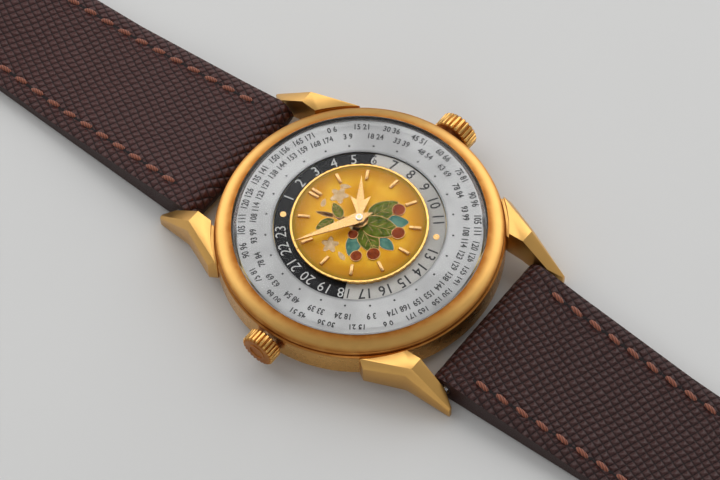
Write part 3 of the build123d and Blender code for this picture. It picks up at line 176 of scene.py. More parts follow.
def blend(finish, share, first, second):
    inputs = {"Fac": share, "Color1": first, "Color2": second}
    return add(finish, "MixRGB", inputs).outputs[0]


def relief(finish, height, depth):
    inputs = {"Height": height, "Distance": depth * mm, "Strength": 1.0}
    feed(finish, "Normal", add(finish, "Bump", inputs).outputs[0])


def distance_from(finish, vector, keep=(1, 1, 0)):
    flat = add(finish, "VectorMath", {0: vector, 1: keep}, operation="MULTIPLY").outputs[0]
    return add(finish, "VectorMath", {0: flat}, operation="LENGTH").outputs["Value"]


def shade(colour, share):
    return tuple(part * share for part in colour[:3]) + (1.0,)


# %% [markdown]
# ## Gold
#
# The case is yellow gold that has been worn for decades: polished on the bezel, satin along the lugs, and
# browner where fingers and cloth don't reach, along the crystal and the seam of the bezel. One recipe gives
# all of them. Its grain is noise drawn out along one direction, and the patina is a mask that each piece
# words for itself.

# %% Gold and its patina
gold = (0.78, 0.45, 0.135, 1.0)
brown = (0.38, 0.13, 0.022, 1.0)


def gold_finish(name, roughness, grain=(1, 1, 1), patina=None, tone=gold):
    finish = new_finish(name, Metallic=1.0, Roughness=roughness)
    place = millimetres(finish)
    clouds = noise(finish, place, 0.4, 2.0)
    colour = blend(finish, clouds, shade(tone, 0.93), shade(tone, 1.05))
    scratches = noise(finish, millimetres(finish, stretch=grain), 1.0, 3.0)
    dull = remap(finish, scratches, 0.3, 0.75, roughness * 0.92, roughness * 1.12)
    if patina:
        worn = patina(finish, place)
        spots = remap(finish, noise(finish, place, 0.8, 2.0), 0.3, 0.65, 0.82, 1.0)
        spotted = sums(finish, "MULTIPLY", worn, spots)
        colour = blend(finish, spotted, colour, brown)
        dull = sums(finish, "ADD", dull, sums(finish, "MULTIPLY", spotted, 0.2))
    feed(finish, "Base Color", colour)
    feed(finish, "Roughness", dull)
    return finish


# %% [markdown]
# The patina of the bezel lies in two rings, that of the band near its upper seam, and that of a crown
# everywhere below the crests of its teeth. Each is a mask from the distance to an axis or from the height.

# %% Where the patina lies
crystal_overlap = 0.67
bezel_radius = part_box("bezel")[1].x / mm
lip_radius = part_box("crystal")[1].x / mm - crystal_overlap
inner_full, inner_end = 0.15, 1.3
outer_full, outer_end = 0.05, 0.6
band_start_z, band_full_z = 4.9, 5.5
crest_clear, crest_full = 0.06, 0.24
print("bezel from radius", round(lip_radius, 2), "to", round(bezel_radius, 2), "mm")


def bezel_patina(finish, place):
    radius = distance_from(finish, place)
    inner = remap(finish, radius, lip_radius + inner_end, lip_radius + inner_full)
    outer = remap(finish, radius, bezel_radius - outer_end, bezel_radius - outer_full, 0.0, 0.85)
    return sums(finish, "MAXIMUM", inner, outer)


def band_patina(finish, place):
    height = add(finish, "SeparateXYZ", {0: place}).outputs[2]
    return remap(finish, height, band_start_z, band_full_z, 0.15, 0.9)


def crown_patina(crown):
    low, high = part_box(crown)
    crest = (high.y - low.y) / 2 / mm

    def patina(finish, place):
        to_axis = (0, 0, -(low.z + high.z) / 2 / mm)
        about_axis = add(finish, "VectorMath", {0: place, 1: to_axis}, operation="ADD")
        radius = distance_from(finish, about_axis.outputs[0], (0, 1, 1))
        return remap(finish, radius, crest - crest_clear, crest - crest_full)

    return patina


# %% The golds of the watch
bezel_gold = gold_finish("bezel gold", 0.33, patina=bezel_patina)
band_gold = gold_finish("band gold", 0.25, patina=band_patina)
lug_gold = gold_finish("lug gold", 0.34, grain=(0.9, 0.15, 0.9))
winding_gold = gold_finish("winding crown gold", 0.24, patina=crown_patina("winding_crown"))
city_gold = gold_finish("city crown gold", 0.24, patina=crown_patina("city_crown"))
hand_gold = gold_finish("hand gold", 0.27, tone=(0.64, 0.385, 0.155, 1.0))
buckle_gold = gold_finish("buckle gold", 0.2)
golds = (bezel_gold, band_gold, lug_gold, winding_gold, city_gold, hand_gold, buckle_gold)
print("golds", [finish.name for finish in golds])


# %% [markdown]
# ## Other metals, glass and the dial's colours
#
# The plates and the train of the movement are gilt brass, its bridges grey, its winding works and small
# parts steel, and its springs blued. The city disc is silvered: a fine matt silver with a faint
# cloudiness. The ring inside it is half black and half silver, so that night and day can be told apart.
# The crystal is a clear acrylic dome, whose upright edge is turned and so a little matt.

# %% Movement metals
def metal_finish(name, tone, roughness, grain=(3, 3, 3)):
    finish = new_finish(name, Metallic=1.0)
    lines = noise(finish, millimetres(finish, stretch=grain), 3.0, 4.0)
    feed(finish, "Base Color", blend(finish, lines, shade(tone, 0.85), shade(tone, 1.1)))
    feed(finish, "Roughness", remap(finish, lines, 0.3, 0.7, roughness * 0.8, roughness * 1.25))
    relief(finish, lines, 0.002)
    return finish


steel = metal_finish("steel", (0.56, 0.57, 0.58, 1.0), 0.25)
blued_steel = metal_finish("blued steel", (0.12, 0.16, 0.32, 1.0), 0.25)
gilt_brass = metal_finish("gilt brass", (0.72, 0.55, 0.27, 1.0), 0.32)
grey_bridge = metal_finish("grey bridge", (0.55, 0.54, 0.51, 1.0), 0.3, grain=(6, 1, 6))


# %% Silvered disc, and the ring of day and night
def silver_clouds(finish, place, tone):
    clouds = remap(finish, noise(finish, place, 0.12, 5.0), 0.35, 0.65)
    specks = remap(finish, noise(finish, place, 9.0, 2.0), 0.35, 0.7, 0.93, 1.0)
    silver = blend(finish, clouds, shade(tone, 0.84), shade(tone, 1.12))
    inputs = {"Fac": 1.0, "Color1": silver, "Color2": specks}
    return add(finish, "MixRGB", inputs, blend_type="MULTIPLY").outputs[0]


silver = (0.35, 0.35, 0.347, 1.0)
# Radii in millimetres of a band of painted shade on the silver, beside the inner ring
painted_shade_start, painted_shade_end = 10.7, 11.15
silvered = new_finish("silvered disc", Metallic=0.75, Roughness=0.36)
silvered_place = millimetres(silvered)
from_axis = distance_from(silvered, silvered_place)
# Painted shade: the silver is darkened to about half in the band beside the inner ring
painted_shade_by_ring = remap(silvered, from_axis, painted_shade_start, painted_shade_end, 0.55, 1.0)
clouded = silver_clouds(silvered, silvered_place, silver)
inputs = {"Fac": 1.0, "Color1": clouded, "Color2": painted_shade_by_ring}
feed(silvered, "Base Color", add(silvered, "MixRGB", inputs, blend_type="MULTIPLY").outputs[0])
relief(silvered, noise(silvered, silvered_place, 14.0, 3.0), 0.003)

night_line = 27.2
night_turn = math.radians(90 - night_line)
day_silver = (0.50, 0.485, 0.455, 1.0)
day_night = new_finish("day and night", Roughness=0.4, Specular_IOR_Level=0.15)
day_place = millimetres(day_night, turn=night_turn)
across = add(day_night, "SeparateXYZ", {0: day_place}).outputs[0]
is_day = sums(day_night, "GREATER_THAN", across, 0.0)
day_colour = silver_clouds(day_night, day_place, day_silver)
night_dark, night_light = (0.006, 0.006, 0.007, 1), (0.014, 0.014, 0.016, 1)
night_colour = blend(day_night, noise(day_night, day_place, 3.0), night_dark, night_light)
feed(day_night, "Base Color", blend(day_night, is_day, night_colour, day_colour))
relief(day_night, noise(day_night, day_place, 14.0, 3.0), 0.002)
print("night turns to day at", night_line, "degrees")

# %% Glass, rubber and inks
faint = (0.08, 0.08, 0.08, 1)
clear = new_finish("clear acrylic", Roughness=0.0, IOR=1.35, Transmission_Weight=1.0, Specular_Tint=faint)
haze = noise(clear, millimetres(clear), 0.4, 2.0)
feed(clear, "Base Color", blend(clear, haze, (0.98, 0.985, 0.985, 1.0), (1.0, 1.0, 1.0, 1.0)))
open_to_light = add(clear, "BsdfTransparent").outputs[0]
for_lamps = add(clear, "LightPath").outputs["Is Shadow Ray"]
solid_glass = clear.node_tree.nodes["Principled BSDF"].outputs[0]
seen_or_lit = add(clear, "MixShader", {0: for_lamps, 1: solid_glass, 2: open_to_light}).outputs[0]
clear.node_tree.links.new(seen_or_lit, clear.node_tree.nodes["Material Output"].inputs["Surface"])

crystal_edge = new_finish("crystal edge", Roughness=0.22, IOR=1.35, Transmission_Weight=0.55)
edge_lines = noise(crystal_edge, millimetres(crystal_edge, stretch=(0.1, 0.1, 6)), 2.0, 3.0)
feed(crystal_edge, "Base Color", blend(crystal_edge, edge_lines, (0.5, 0.51, 0.52, 1), (0.85, 0.86, 0.87, 1)))

rubber = new_finish("gasket rubber", Roughness=0.7)
rubber_grain = noise(rubber, millimetres(rubber), 6.0)
feed(rubber, "Base Color", blend(rubber, rubber_grain, (0.012, 0.012, 0.012, 1), (0.03, 0.03, 0.03, 1)))


# Flat colour with fine grain, for the printed inks and for the painted shade of the pricked holes
def ink_finish(name, tone, roughness=0.5):
    finish = new_finish(name, Roughness=roughness)
    grain = noise(finish, millimetres(finish), 12.0)
    feed(finish, "Base Color", blend(finish, grain, shade(tone, 0.8), shade(tone, 1.15)))
    return finish


black_ink = ink_finish("black ink", (0.02, 0.02, 0.022, 1))
white_ink = ink_finish("white ink", (0.56, 0.56, 0.55, 1))

# %% Finish of each node of the model
# The strap, its keepers and the enamel plate get theirs in their own sections
finish_of_slot = {
    "polished_gold": band_gold,
    "satin_gold": lug_gold,
    "crystal_clear": clear,
    "silvered": silvered,
    "day_night_enamel": day_night,
    "gold_hands": hand_gold,
    "steel": steel,
    "blued_spring": blued_steel,
    "movement_brass": gilt_brass,
    "bridge_metal": grey_bridge,
    "gasket_rubber": rubber,
}
slot_of = {part["node"]: part["material_slot"] for part in frame["record"]["subparts"]}
for node, piece in nodes.items():
    if slot_of[node] in finish_of_slot:
        dress(piece, finish_of_slot[slot_of[node]])
dress(nodes["bezel"], bezel_gold)
print("dressed", sum(slot_of[node] in finish_of_slot for node in nodes), "of", len(nodes), "nodes")


# %% [markdown]
# ## Edges that catch the light
#
# No polished edge is sharp. A copy of the node is merged into one skin, flat faces are cleaned of their
# triangles, and a bevel rounds every edge over a limit. The copy then stands for the node. Without a
# width it is only shaded smooth, as the turned crystal, bezel and band are. The hands are also faceted:
# their top falls away on both sides of a ridge, so that one side is bright when the other is dark.

# %% Ridge of a hand
def ridged(piece, heading, drop, boss):
    # Lowers the rim of the top beside the middle line, outside the boss
    along = Vector((math.cos(math.radians(heading)), math.sin(math.radians(heading)), 0))
    aside = Vector((-along.y, along.x, 0))
    bpy.ops.object.mode_set(mode="EDIT")
    bpy.ops.mesh.select_all(action="SELECT")
    bpy.ops.mesh.bisect(plane_co=(0, 0, 0), plane_no=aside)
    bpy.ops.mesh.select_all(action="SELECT")
    bpy.ops.mesh.quads_convert_to_tris()
    bpy.ops.object.mode_set(mode="OBJECT")
    top = max(corner.co.z for corner in piece.data.vertices)
    near = 0.01 * mm
    for corner in piece.data.vertices:
        outside = corner.co.xy.length > boss * mm and abs(corner.co.dot(aside)) > near
        if outside and corner.co.z > top - near:
            corner.co.z -= drop * mm


# %% Rounded copy of a node
weld_gap = 0.0005
flat_limit, facet_limit = 1, 9


def rounded(node, width, finish, segments=2, limit=25, ridge=None):
    piece = nodes[node].copy()
    piece.data = nodes[node].data.copy()
    for key in list(piece.keys()):
        del piece[key]
    piece.parent = None
    piece.name = node + "_finished"
    bpy.context.scene.collection.objects.link(piece)
    pick(piece)
    bpy.ops.object.mode_set(mode="EDIT")
    bpy.ops.mesh.select_all(action="SELECT")
    bpy.ops.mesh.customdata_custom_splitnormals_clear()
    bpy.ops.mesh.remove_doubles(threshold=weld_gap * mm)
    bpy.ops.mesh.dissolve_limited(angle_limit=math.radians(flat_limit))
    bpy.ops.object.mode_set(mode="OBJECT")
    if ridge:
        ridged(piece, *ridge)
    if width:
        apply_modifier(piece, "BEVEL", width=width * mm, segments=segments, limit_method="ANGLE",
                       angle_limit=math.radians(limit), use_clamp_overlap=True)
    pick(piece)
    bpy.ops.object.shade_smooth_by_angle(angle=math.radians(facet_limit if ridge else limit))
    seat(piece, finish, body_of[node], (node,))
    return piece


# %% Lugs, crowns, hands and markers
lug_edge, fine_edge = 0.07, 0.03
hour_hand_heading, minute_hand_heading = 35.5, 149.8
ridge_drop, hand_boss = 0.12, 1.25
for lug in ("lug_twelve_right", "lug_twelve_left", "lug_six_right", "lug_six_left"):
    rounded(lug, lug_edge, lug_gold)
for crown, crown_gold in (("winding_crown", winding_gold), ("city_crown", city_gold)):
    rounded(crown, fine_edge, crown_gold, limit=20)
for hand, heading in (("hour_hand", hour_hand_heading), ("minute_hand", minute_hand_heading)):
    rounded(hand, fine_edge, hand_gold, ridge=(heading, ridge_drop, hand_boss))
rounded("hour_markers", fine_edge, hand_gold)
milled = rounded("dial_base", fine_edge, buckle_gold, limit=20)
print("faces of the milled dial base", len(milled.data.polygons))

# %% [markdown]
# The milling of the dial base ends in a smooth lip that frames the enamel. It is a thin ring laid on the
# rim.

# %% Lip of the dial base
dial_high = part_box("dial_base")[1]
lip = 0.11 * mm
bpy.ops.object.select_all(action="DESELECT")
bpy.ops.mesh.primitive_torus_add(location=(0, 0, dial_high.z - lip), major_radius=dial_high.x - lip,
                                 minor_radius=lip, major_segments=180, minor_segments=10)
dial_lip = bpy.context.object
dial_lip.name = "dial_lip"
apply_place(dial_lip)
bpy.ops.object.shade_smooth()
seat(dial_lip, buckle_gold, "case")
print("lip", round(2 * dial_high.x / mm, 2), "mm across")

# %% Buckle, crystal, bezel and band
frame_edge, tongue_edge = 0.25, 0.15
edge_slope, edge_radius = 0.3, 14.5
rounded("buckle_frame", frame_edge, buckle_gold, segments=3)
rounded("buckle_tongue", tongue_edge, buckle_gold)
crystal = rounded("crystal", 0, clear, limit=30)
crystal.data.materials.append(crystal_edge)
for face in crystal.data.polygons:
    if abs(face.normal.z) < edge_slope and face.center.xy.length > edge_radius * mm:
        face.material_index = 1
rounded("bezel", 0, bezel_gold, limit=30)
rounded("case_band", 0, band_gold, limit=30)
print("matt faces of the crystal", sum(face.material_index for face in crystal.data.polygons))


# %% [markdown]
# ## Printed numbers
#
# The city disc carries rows of small figures, and the ring inside it the hours from 1 to 23 with a gold dot
# at noon and midnight. Each figure is a text object, made a mesh and set on its ring with its head
# outwards. Plain numbers stand in every row: degrees of longitude on the disc, hours on the ring.

# %% Numbers and dots set round a ring
capital_share = 0.72
print_lift = 0.012


def number_mesh(label, height, bolder):
    bpy.ops.object.select_all(action="DESELECT")
    bpy.ops.object.text_add(location=(0, 0, 0))
    text = bpy.context.object
    text.data.body = label
    text.data.size = height / capital_share * mm
    text.data.align_x, text.data.align_y = "CENTER", "CENTER"
    text.data.extrude = print_lift / 2 * mm
    text.data.offset = bolder * mm
    text.data.resolution_u = 2
    bpy.ops.object.convert(target="MESH")
    return bpy.context.object


def numbers_on_ring(labels, radius, height, top, bolder, narrow):
    made = []
    for label, heading in labels:
        figure = number_mesh(label, height, bolder)
        turn = Matrix.Rotation(math.radians(heading - 90), 4, "Z")
        place = Matrix.Translation((0, radius * mm, (top + print_lift / 2) * mm))
        figure.matrix_world = turn @ place @ Matrix.Diagonal((narrow, 1, 1, 1))
        made.append(figure)
    return made


def dots_on_ring(headings, radius, size, top, lift):
    made = []
    for heading in headings:
        turn = Matrix.Rotation(math.radians(heading), 4, "Z")
        place = turn @ Vector((radius * mm, 0, (top + lift / 2) * mm))
        bpy.ops.object.select_all(action="DESELECT")
        bpy.ops.mesh.primitive_cylinder_add(vertices=16, radius=size / 2 * mm, depth=lift * mm,
                                            location=place)
        made.append(bpy.context.object)
    return made


# %% Two rows and the dots of the city disc
hours, hour_step = 24, 15
half_circle = 180
city_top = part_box("city_disc")[1].z / mm
city_start = 44.35
city_weight, city_narrow_share = 0.03, 0.82
dot_radius, dot_size = 11.65, 0.28
# Each row: radius, height, turn against the dots, and the two degrees of longitude under each hour
rows = (
    (14.5, 0.85, 7.5, (0, 6)),
    (13.1, 0.82, 0.0, (3, 9)),
)
prints = []
for radius, height, shift, longitudes in rows:
    row = []
    for step in range(hours):
        label = " ".join(str((hour_step * step + degree) % half_circle) for degree in longitudes)
        row.append((label, city_start + shift - hour_step * step))
    prints += numbers_on_ring(row, radius, height, city_top, city_weight, city_narrow_share)
dot_headings = [city_start - hour_step * step for step in range(hours)]
prints += dots_on_ring(dot_headings, dot_radius, dot_size, city_top, print_lift)
city_print = join(prints, "city_print")
seat(city_print, black_ink, "city_ring")
print("printed", len(city_print.data.polygons), "faces on the city disc")

# %% Hours of the night and the day
ring_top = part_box("day_night_ring")[1].z / mm
hour_heading = {hour: 90 + night_line - hour_step * hour for hour in range(1, hours + 1)}
hour_radius, hour_height, hour_narrow_share = 9.67, 1.42, 0.92
night_weight, day_weight = -0.008, 0.022
noon_radius, noon_size, noon_lift = 9.6, 0.8, 0.05


def hour_figures(wanted, weight):
    labels = [(str(hour), hour_heading[hour]) for hour in wanted]
    return numbers_on_ring(labels, hour_radius, hour_height, ring_top, weight, hour_narrow_share)


night_print = join(hour_figures([*range(1, 6), *range(19, 24)], night_weight), "night_hours")
day_print = join(hour_figures([*range(7, 12), *range(13, 18)], day_weight), "day_hours")
seat(night_print, white_ink, "night_ring")
seat(day_print, black_ink, "night_ring")
noon_headings = [hour_heading[12], hour_heading[24]]
noon_pair = dots_on_ring(noon_headings, noon_radius, noon_size, ring_top, noon_lift)
noon_dots = join(noon_pair, "noon_and_midnight")
seat(noon_dots, hand_gold, "night_ring")
print("printed", len(night_print.data.polygons) + len(day_print.data.polygons), "faces on the ring")

# %% [markdown]
# The 6 and the 18 stand on the line between night and day, so each is black on its silver half and white on
# its black half. The figure is made twice, and each copy is cut along the line.

# %% The two figures on the line
def half_figure(hour, keep_day):
    figure = hour_figures([hour], night_weight)[0]
    apply_place(figure)
    bpy.ops.object.mode_set(mode="EDIT")
    bpy.ops.mesh.select_all(action="SELECT")
    day_way = Vector((math.cos(night_turn), -math.sin(night_turn), 0))
    bpy.ops.mesh.bisect(plane_co=(0, 0, 0), plane_no=day_way, clear_inner=keep_day, clear_outer=not keep_day)
    bpy.ops.object.mode_set(mode="OBJECT")
    return figure


white_halves = join([half_figure(6, False), half_figure(18, False)], "night_halves")
black_halves = join([half_figure(6, True), half_figure(18, True)], "day_halves")
seat(white_halves, white_ink, "night_ring")
seat(black_halves, black_ink, "night_ring")
print("faces of the split figures", len(white_halves.data.polygons) + len(black_halves.data.polygons))


# %% [markdown]
# ## Enamel
#
# The middle of the dial is an enamel plate: gold wire is bent into cells on the plate, and each cell is
# filled with coloured glass and fired. The ground is amber, burnt brown toward its rim, with a little green
# at the very edge. The picture here is a branch with leaves, fruits and blossoms. Each cell is a circle
# pulled to its outline, and its rim becomes the wire.

# %% Enamel finishes
def enamel_finish(name, light, dark, scale):
    finish = new_finish(name, Roughness=0.2, Specular_IOR_Level=0.06)
    place = millimetres(finish)
    clouds = remap(finish, noise(finish, place, scale, 6.0), 0.3, 0.7)
    grains = remap(finish, noise(finish, place, 7.0, 3.0), 0.3, 0.75, 0.82, 1.0)
    colour = blend(finish, clouds, dark, light)
    inputs = {"Fac": 1.0, "Color1": colour, "Color2": grains}
    return finish, add(finish, "MixRGB", inputs, blend_type="MULTIPLY").outputs[0], place


amber_light, amber_dark = (0.95, 0.53, 0.035, 1), (0.80, 0.36, 0.012, 1)
burnt_brown, rim_green = (0.46, 0.19, 0.012, 1), (0.20, 0.15, 0.01, 1)
burn_start, burn_end, green_start, green_end = 5.4, 8.0, 7.5, 8.3
amber, amber_colour, amber_place = enamel_finish("amber enamel", amber_light, amber_dark, 0.4)
from_middle = distance_from(amber, amber_place)
burn = remap(amber, from_middle, burn_start, burn_end, 0.0, 0.85)
burnt = blend(amber, burn, amber_colour, burnt_brown)
green = remap(amber, from_middle, green_start, green_end, 0.0, 0.7)
feed(amber, "Base Color", blend(amber, green, burnt, rim_green))
relief(amber, noise(amber, amber_place, 1.5, 3.0), 0.01)
dress(nodes["enamel_plate"], amber)

cell_tones = {
    "leaf_green": ((0.16, 0.20, 0.018, 1), (0.06, 0.09, 0.007, 1)),
    "turquoise": ((0.13, 0.29, 0.22, 1), (0.05, 0.16, 0.13, 1)),
    "brick_red": ((0.33, 0.06, 0.012, 1), (0.15, 0.022, 0.005, 1)),
    "bark_brown": ((0.24, 0.11, 0.025, 1), (0.07, 0.03, 0.01, 1)),
    "blossom_grey": ((0.84, 0.62, 0.38, 1), (0.60, 0.38, 0.18, 1)),
}
cell_finish = {}
for tone, (light, dark) in cell_tones.items():
    made, colour, made_place = enamel_finish(tone + " enamel", light, dark, 1.6)
    feed(made, "Base Color", colour)
    relief(made, noise(made, made_place, 3.0, 3.0), 0.008)
    cell_finish[tone] = made
print("enamel colours", 1 + len(cell_finish))


# %% Outline of a cell
outline_points = 28
leaf_point, leaf_lean_share = 0.35, 0.25
lobes, lobe_share = 5, 0.22


def cell_outline(form, length, width):
    points = []
    for step in range(outline_points):
        turn = 2 * math.pi * step / outline_points
        along, side = math.cos(turn), math.sin(turn)
        if form == "leaf":
            side *= abs(side) ** leaf_point * (1 - leaf_lean_share * along)
        if form == "lobed":
            reach = 1 - lobe_share + lobe_share * math.cos(lobes * turn)
            along, side = along * reach, side * reach
        points.append((along * length / 2, side * width / 2))
    return points


# %% A cell and its wire
enamel_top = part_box("enamel_plate")[1].z / mm
cell_lift, level_step = 0.02, 0.03
wire_size, wire_sink = 0.045, 0.02


def enamel_cell(form, x, y, heading, length, width, level):
    outline = cell_outline(form, length, width)
    top = enamel_top + cell_lift + level_step * level
    bpy.ops.object.select_all(action="DESELECT")
    bpy.ops.mesh.primitive_circle_add(vertices=len(outline), radius=mm, fill_type="NGON")
    cell = bpy.context.object
    turn = Matrix.Rotation(math.radians(heading), 4, "Z")
    for corner, (along, side) in zip(cell.data.vertices, outline):
        corner.co = turn @ Vector((along * mm, side * mm, 0)) + Vector((x, y, top)) * mm
    wire = cell.copy()
    wire.data = cell.data.copy()
    bpy.context.scene.collection.objects.link(wire)
    wire.location.z = -wire_sink * mm
    pick(wire)
    bpy.ops.object.mode_set(mode="EDIT")
    bpy.ops.mesh.select_all(action="SELECT")
    bpy.ops.mesh.delete(type="ONLY_FACE")
    bpy.ops.object.mode_set(mode="OBJECT")
    bpy.ops.object.convert(target="CURVE")
    wire = bpy.context.object
    wire.data.bevel_depth = wire_size * mm
    wire.data.bevel_resolution = 1
    bpy.ops.object.convert(target="MESH")
    wire = bpy.context.object
    pick(cell)
    bpy.ops.object.mode_set(mode="EDIT")
    bpy.ops.mesh.select_all(action="SELECT")
    down = (0, 0, (enamel_top - cell_lift - top) * mm)
    bpy.ops.mesh.extrude_region_move(TRANSFORM_OT_translate={"value": down})
    face_outwards(cell)
    return cell, wire


# %% Veins of a leaf
vein_size, vein_angle = 0.022, 42
vein_places_share = (-0.2, 0.04, 0.26)
middle_vein_share, side_vein_share, side_offset_share = 0.84, 0.36, 0.17


def veins(x, y, heading, length, width, level):
    # A middle wire and three pairs of side wires, each a thin rod lying on the glass
    turn = Matrix.Rotation(math.radians(heading), 4, "Z")
    lines = [(0.0, 0.0, middle_vein_share * length, 0)]
    for share in vein_places_share:
        for way in (1, -1):
            aside = way * side_offset_share * width
            lines.append((share * length, aside, side_vein_share * width, way * vein_angle))
    rods = []
    for along, side, reach, angle in lines:
        place = turn @ Vector((along, side, 0)) + Vector((x, y, enamel_top + cell_lift + level_step * level))
        bpy.ops.object.select_all(action="DESELECT")
        aim = (0, math.pi / 2, math.radians(heading + angle))
        bpy.ops.mesh.primitive_cylinder_add(vertices=6, radius=vein_size * mm, depth=reach * mm,
                                            location=place * mm, rotation=aim)
        rods.append(bpy.context.object)
    return rods


# %% The branch: form, place, heading, length and width of each cell
cells = {
    "bark_brown": [
        ("leaf", -0.7, 1.3, 104, 4.0, 0.9), ("leaf", -1.5, 4.0, 112, 2.8, 0.6),
        ("leaf", 0.5, -1.0, -60, 2.6, 0.7),
    ],
    "blossom_grey": [
        ("lobed", 1.6, 4.4, 12, 2.6, 2.4), ("leaf", 3.1, 4.6, -60, 1.4, 0.6),
        ("leaf", -0.4, 5.3, 20, 1.2, 0.6),
        ("lobed", -4.7, 0.9, 30, 2.4, 2.2), ("leaf", -5.1, -1.2, 70, 1.4, 0.6),
    ],
    "turquoise": [
        ("leaf", 2.7, -3.6, -52, 3.2, 2.0), ("leaf", -3.0, -1.4, 200, 3.4, 1.9),
        ("leaf", -0.5, -4.6, -96, 2.4, 1.5),
    ],
    "leaf_green": [
        ("leaf", -1.4, -2.6, -117, 4.2, 2.5), ("leaf", 3.1, -1.3, -20, 4.4, 2.6),
        ("leaf", 0.9, -2.5, -70, 5.0, 3.0), ("leaf", -2.8, 3.2, 160, 2.6, 1.4),
        ("leaf", -0.3, 3.2, 62, 2.4, 1.3),
    ],
    "brick_red": [
        ("round", 4.3, -2.8, 0, 1.7, 1.6), ("round", 1.6, -4.8, 0, 1.7, 1.6),
        ("round", -2.6, -4.2, 0, 1.7, 1.6), ("round", -4.1, -2.7, 0, 1.5, 1.4),
        ("round", -1.9, -0.5, 0, 1.3, 1.2),
    ],
}

# %% [markdown]
# Where two cells meet, one lies over the other. So the branch and the blossoms lie lowest, then the
# turquoise leaves, then the green ones, which cross each other and take three levels, and the fruits lie
# on top.

# %% Fill the cells
wires = []
lowest_level = {"bark_brown": 0, "blossom_grey": 0, "turquoise": 1, "leaf_green": 2, "brick_red": 5}
leaf_levels = 3
for tone, plan in cells.items():
    filled = []
    for number, shape in enumerate(plan):
        level = lowest_level[tone] + (number % leaf_levels if tone == "leaf_green" else 0)
        cell, wire = enamel_cell(*shape, level)
        filled.append(cell)
        wires.append(wire)
        if tone == "leaf_green":
            wires += veins(*shape[1:], level)
    seat(join(filled, tone + "_cells"), cell_finish[tone], "case")
print("cells", sum(len(plan) for plan in cells.values()), "wires", len(wires))
seat(join(wires, "enamel_wires"), hand_gold, "case")


# %% [markdown]
# ## Leather
#
# The strap is thick leather, pressed with a fine grid of slanting lines so that small pillows stand between
# them. Two zigzag waves at right angles give the pillows, and noise bends the lines a little, because no
# hide is perfectly regular. The grooves between the pillows are painted nearly black as shade, and the
# pillow tops keep the hide's colour. The two halves are cut from the hide at slightly different slants, the
# lower half painted darker as shade, and their walls and lining are plain.

# %% Plain leather
plain_leather = new_finish("plain leather", Specular_IOR_Level=0.35)
plain_pores = noise(plain_leather, millimetres(plain_leather), 7.0, 5.0)
plain_dark, plain_light = (0.018, 0.006, 0.005, 1), (0.036, 0.012, 0.010, 1)
feed(plain_leather, "Base Color", blend(plain_leather, plain_pores, plain_dark, plain_light))
relief(plain_leather, plain_pores, 0.03)
feed(plain_leather, "Roughness", remap(plain_leather, plain_pores, 0.3, 0.7, 0.42, 0.6))

# %% Pressed leather
hide_dark, hide_light = (0.058, 0.017, 0.015), (0.084, 0.029, 0.026)
groove_painted_shade = (0.012, 0.004, 0.004, 1)
pitch_across, pitch_along = 0.90, 0.97
pillow_height, waver_reach = 0.36, 0.8


def leather_finish(name, slant, depth=1.0):
    finish = new_finish(name, Specular_IOR_Level=0.35)
    place = millimetres(finish)
    pores = noise(finish, place, 7.0, 5.0)
    hide = noise(finish, place, 0.25, 4.0)
    # A depth below 1 scales the hide colour down, which paints the whole half darker as shade
    top = blend(finish, hide, shade(hide_dark, depth), shade(hide_light, depth))
    waver = add(finish, "TexNoise", {"Vector": place, "Scale": 0.2, "Detail": 2.0}).outputs["Color"]
    waver = add(finish, "VectorMath", {0: waver, 1: (waver_reach,) * 3}, operation="MULTIPLY").outputs[0]
    bent = add(finish, "VectorMath", {0: place, 1: waver}, operation="ADD").outputs[0]
    slanted = add(finish, "Mapping", {"Vector": bent, "Rotation": (0, 0, -math.radians(slant))}).outputs[0]
    lines = add(finish, "SeparateXYZ", {0: slanted})
    pillow = None
    for socket, pitch in ((lines.outputs[0], pitch_across), (lines.outputs[1], pitch_along)):
        edge = sums(finish, "DIVIDE", sums(finish, "PINGPONG", socket, pitch / 2), pitch / 2)
        dome = sums(finish, "SUBTRACT", 1.0, sums(finish, "POWER", edge, 2.1))
        pillow = dome if pillow is None else sums(finish, "MULTIPLY", pillow, dome)
    # Painted shade: the grooves between the pillows are coloured nearly black, and the tops keep the hide's
    # colour
    colour = blend(finish, remap(finish, pillow, 0.0, 0.35), groove_painted_shade, top)
    height = sums(finish, "ADD", pillow, sums(finish, "MULTIPLY", pores, 0.2))
    relief(finish, height, pillow_height)
    feed(finish, "Base Color", colour)
    feed(finish, "Roughness", remap(finish, pillow, 0.0, 0.5, 0.7, 0.32))
    return finish


upper_leather = leather_finish("upper leather", 64)
# The lower half is the same leather, painted darker as shade
lower_leather = leather_finish("lower leather with painted shade", 69, 0.72)
print("pillows", pitch_across, "by", pitch_along, "mm")

# %% [markdown]
# Each half is a grid, extruded down into a slab, then drawn to its plan and its side view point by point.
# The middle is full and the edges roll down, with a shallow channel where the thread pulls the leather in.

# %% Plan and side view of the strap
bar_y, bar_z = 20.9, 2.15
strap_foot, thick, thin, thin_y = 0.1, 4.1, 2.2, 44.0
strap_width, end_width, taper_end = 20.2, 16.0, 86.0
buckle_bar_y, fold_radius = 94.0, 1.6
ramp_y, ramp_end_y, lift = 54.0, 66.0, 1.25
tip_y, tip_length, tip_bend = 136.0, 9.0, 16.0
stitch_inset = 2.2
least_half = 0.05


def half_width(y, pointed):
    share = min(1, max(0, (y - bar_y) / (taper_end - bar_y)))
    half = (strap_width + share * (end_width - strap_width)) / 2
    shoulder = tip_y - tip_length
    if pointed and y > shoulder:
        # Each side is an arc from the shoulder to the point
        chord = math.hypot(end_width / 2, tip_length)
        reach = math.sqrt(tip_bend**2 - chord**2 / 4)
        centre_x = end_width / 4 - reach * tip_length / chord
        centre_y = shoulder + tip_length / 2 - reach * end_width / 2 / chord
        half = max(least_half, centre_x + math.sqrt(max(0, tip_bend**2 - (y - centre_y) ** 2)))
    return half


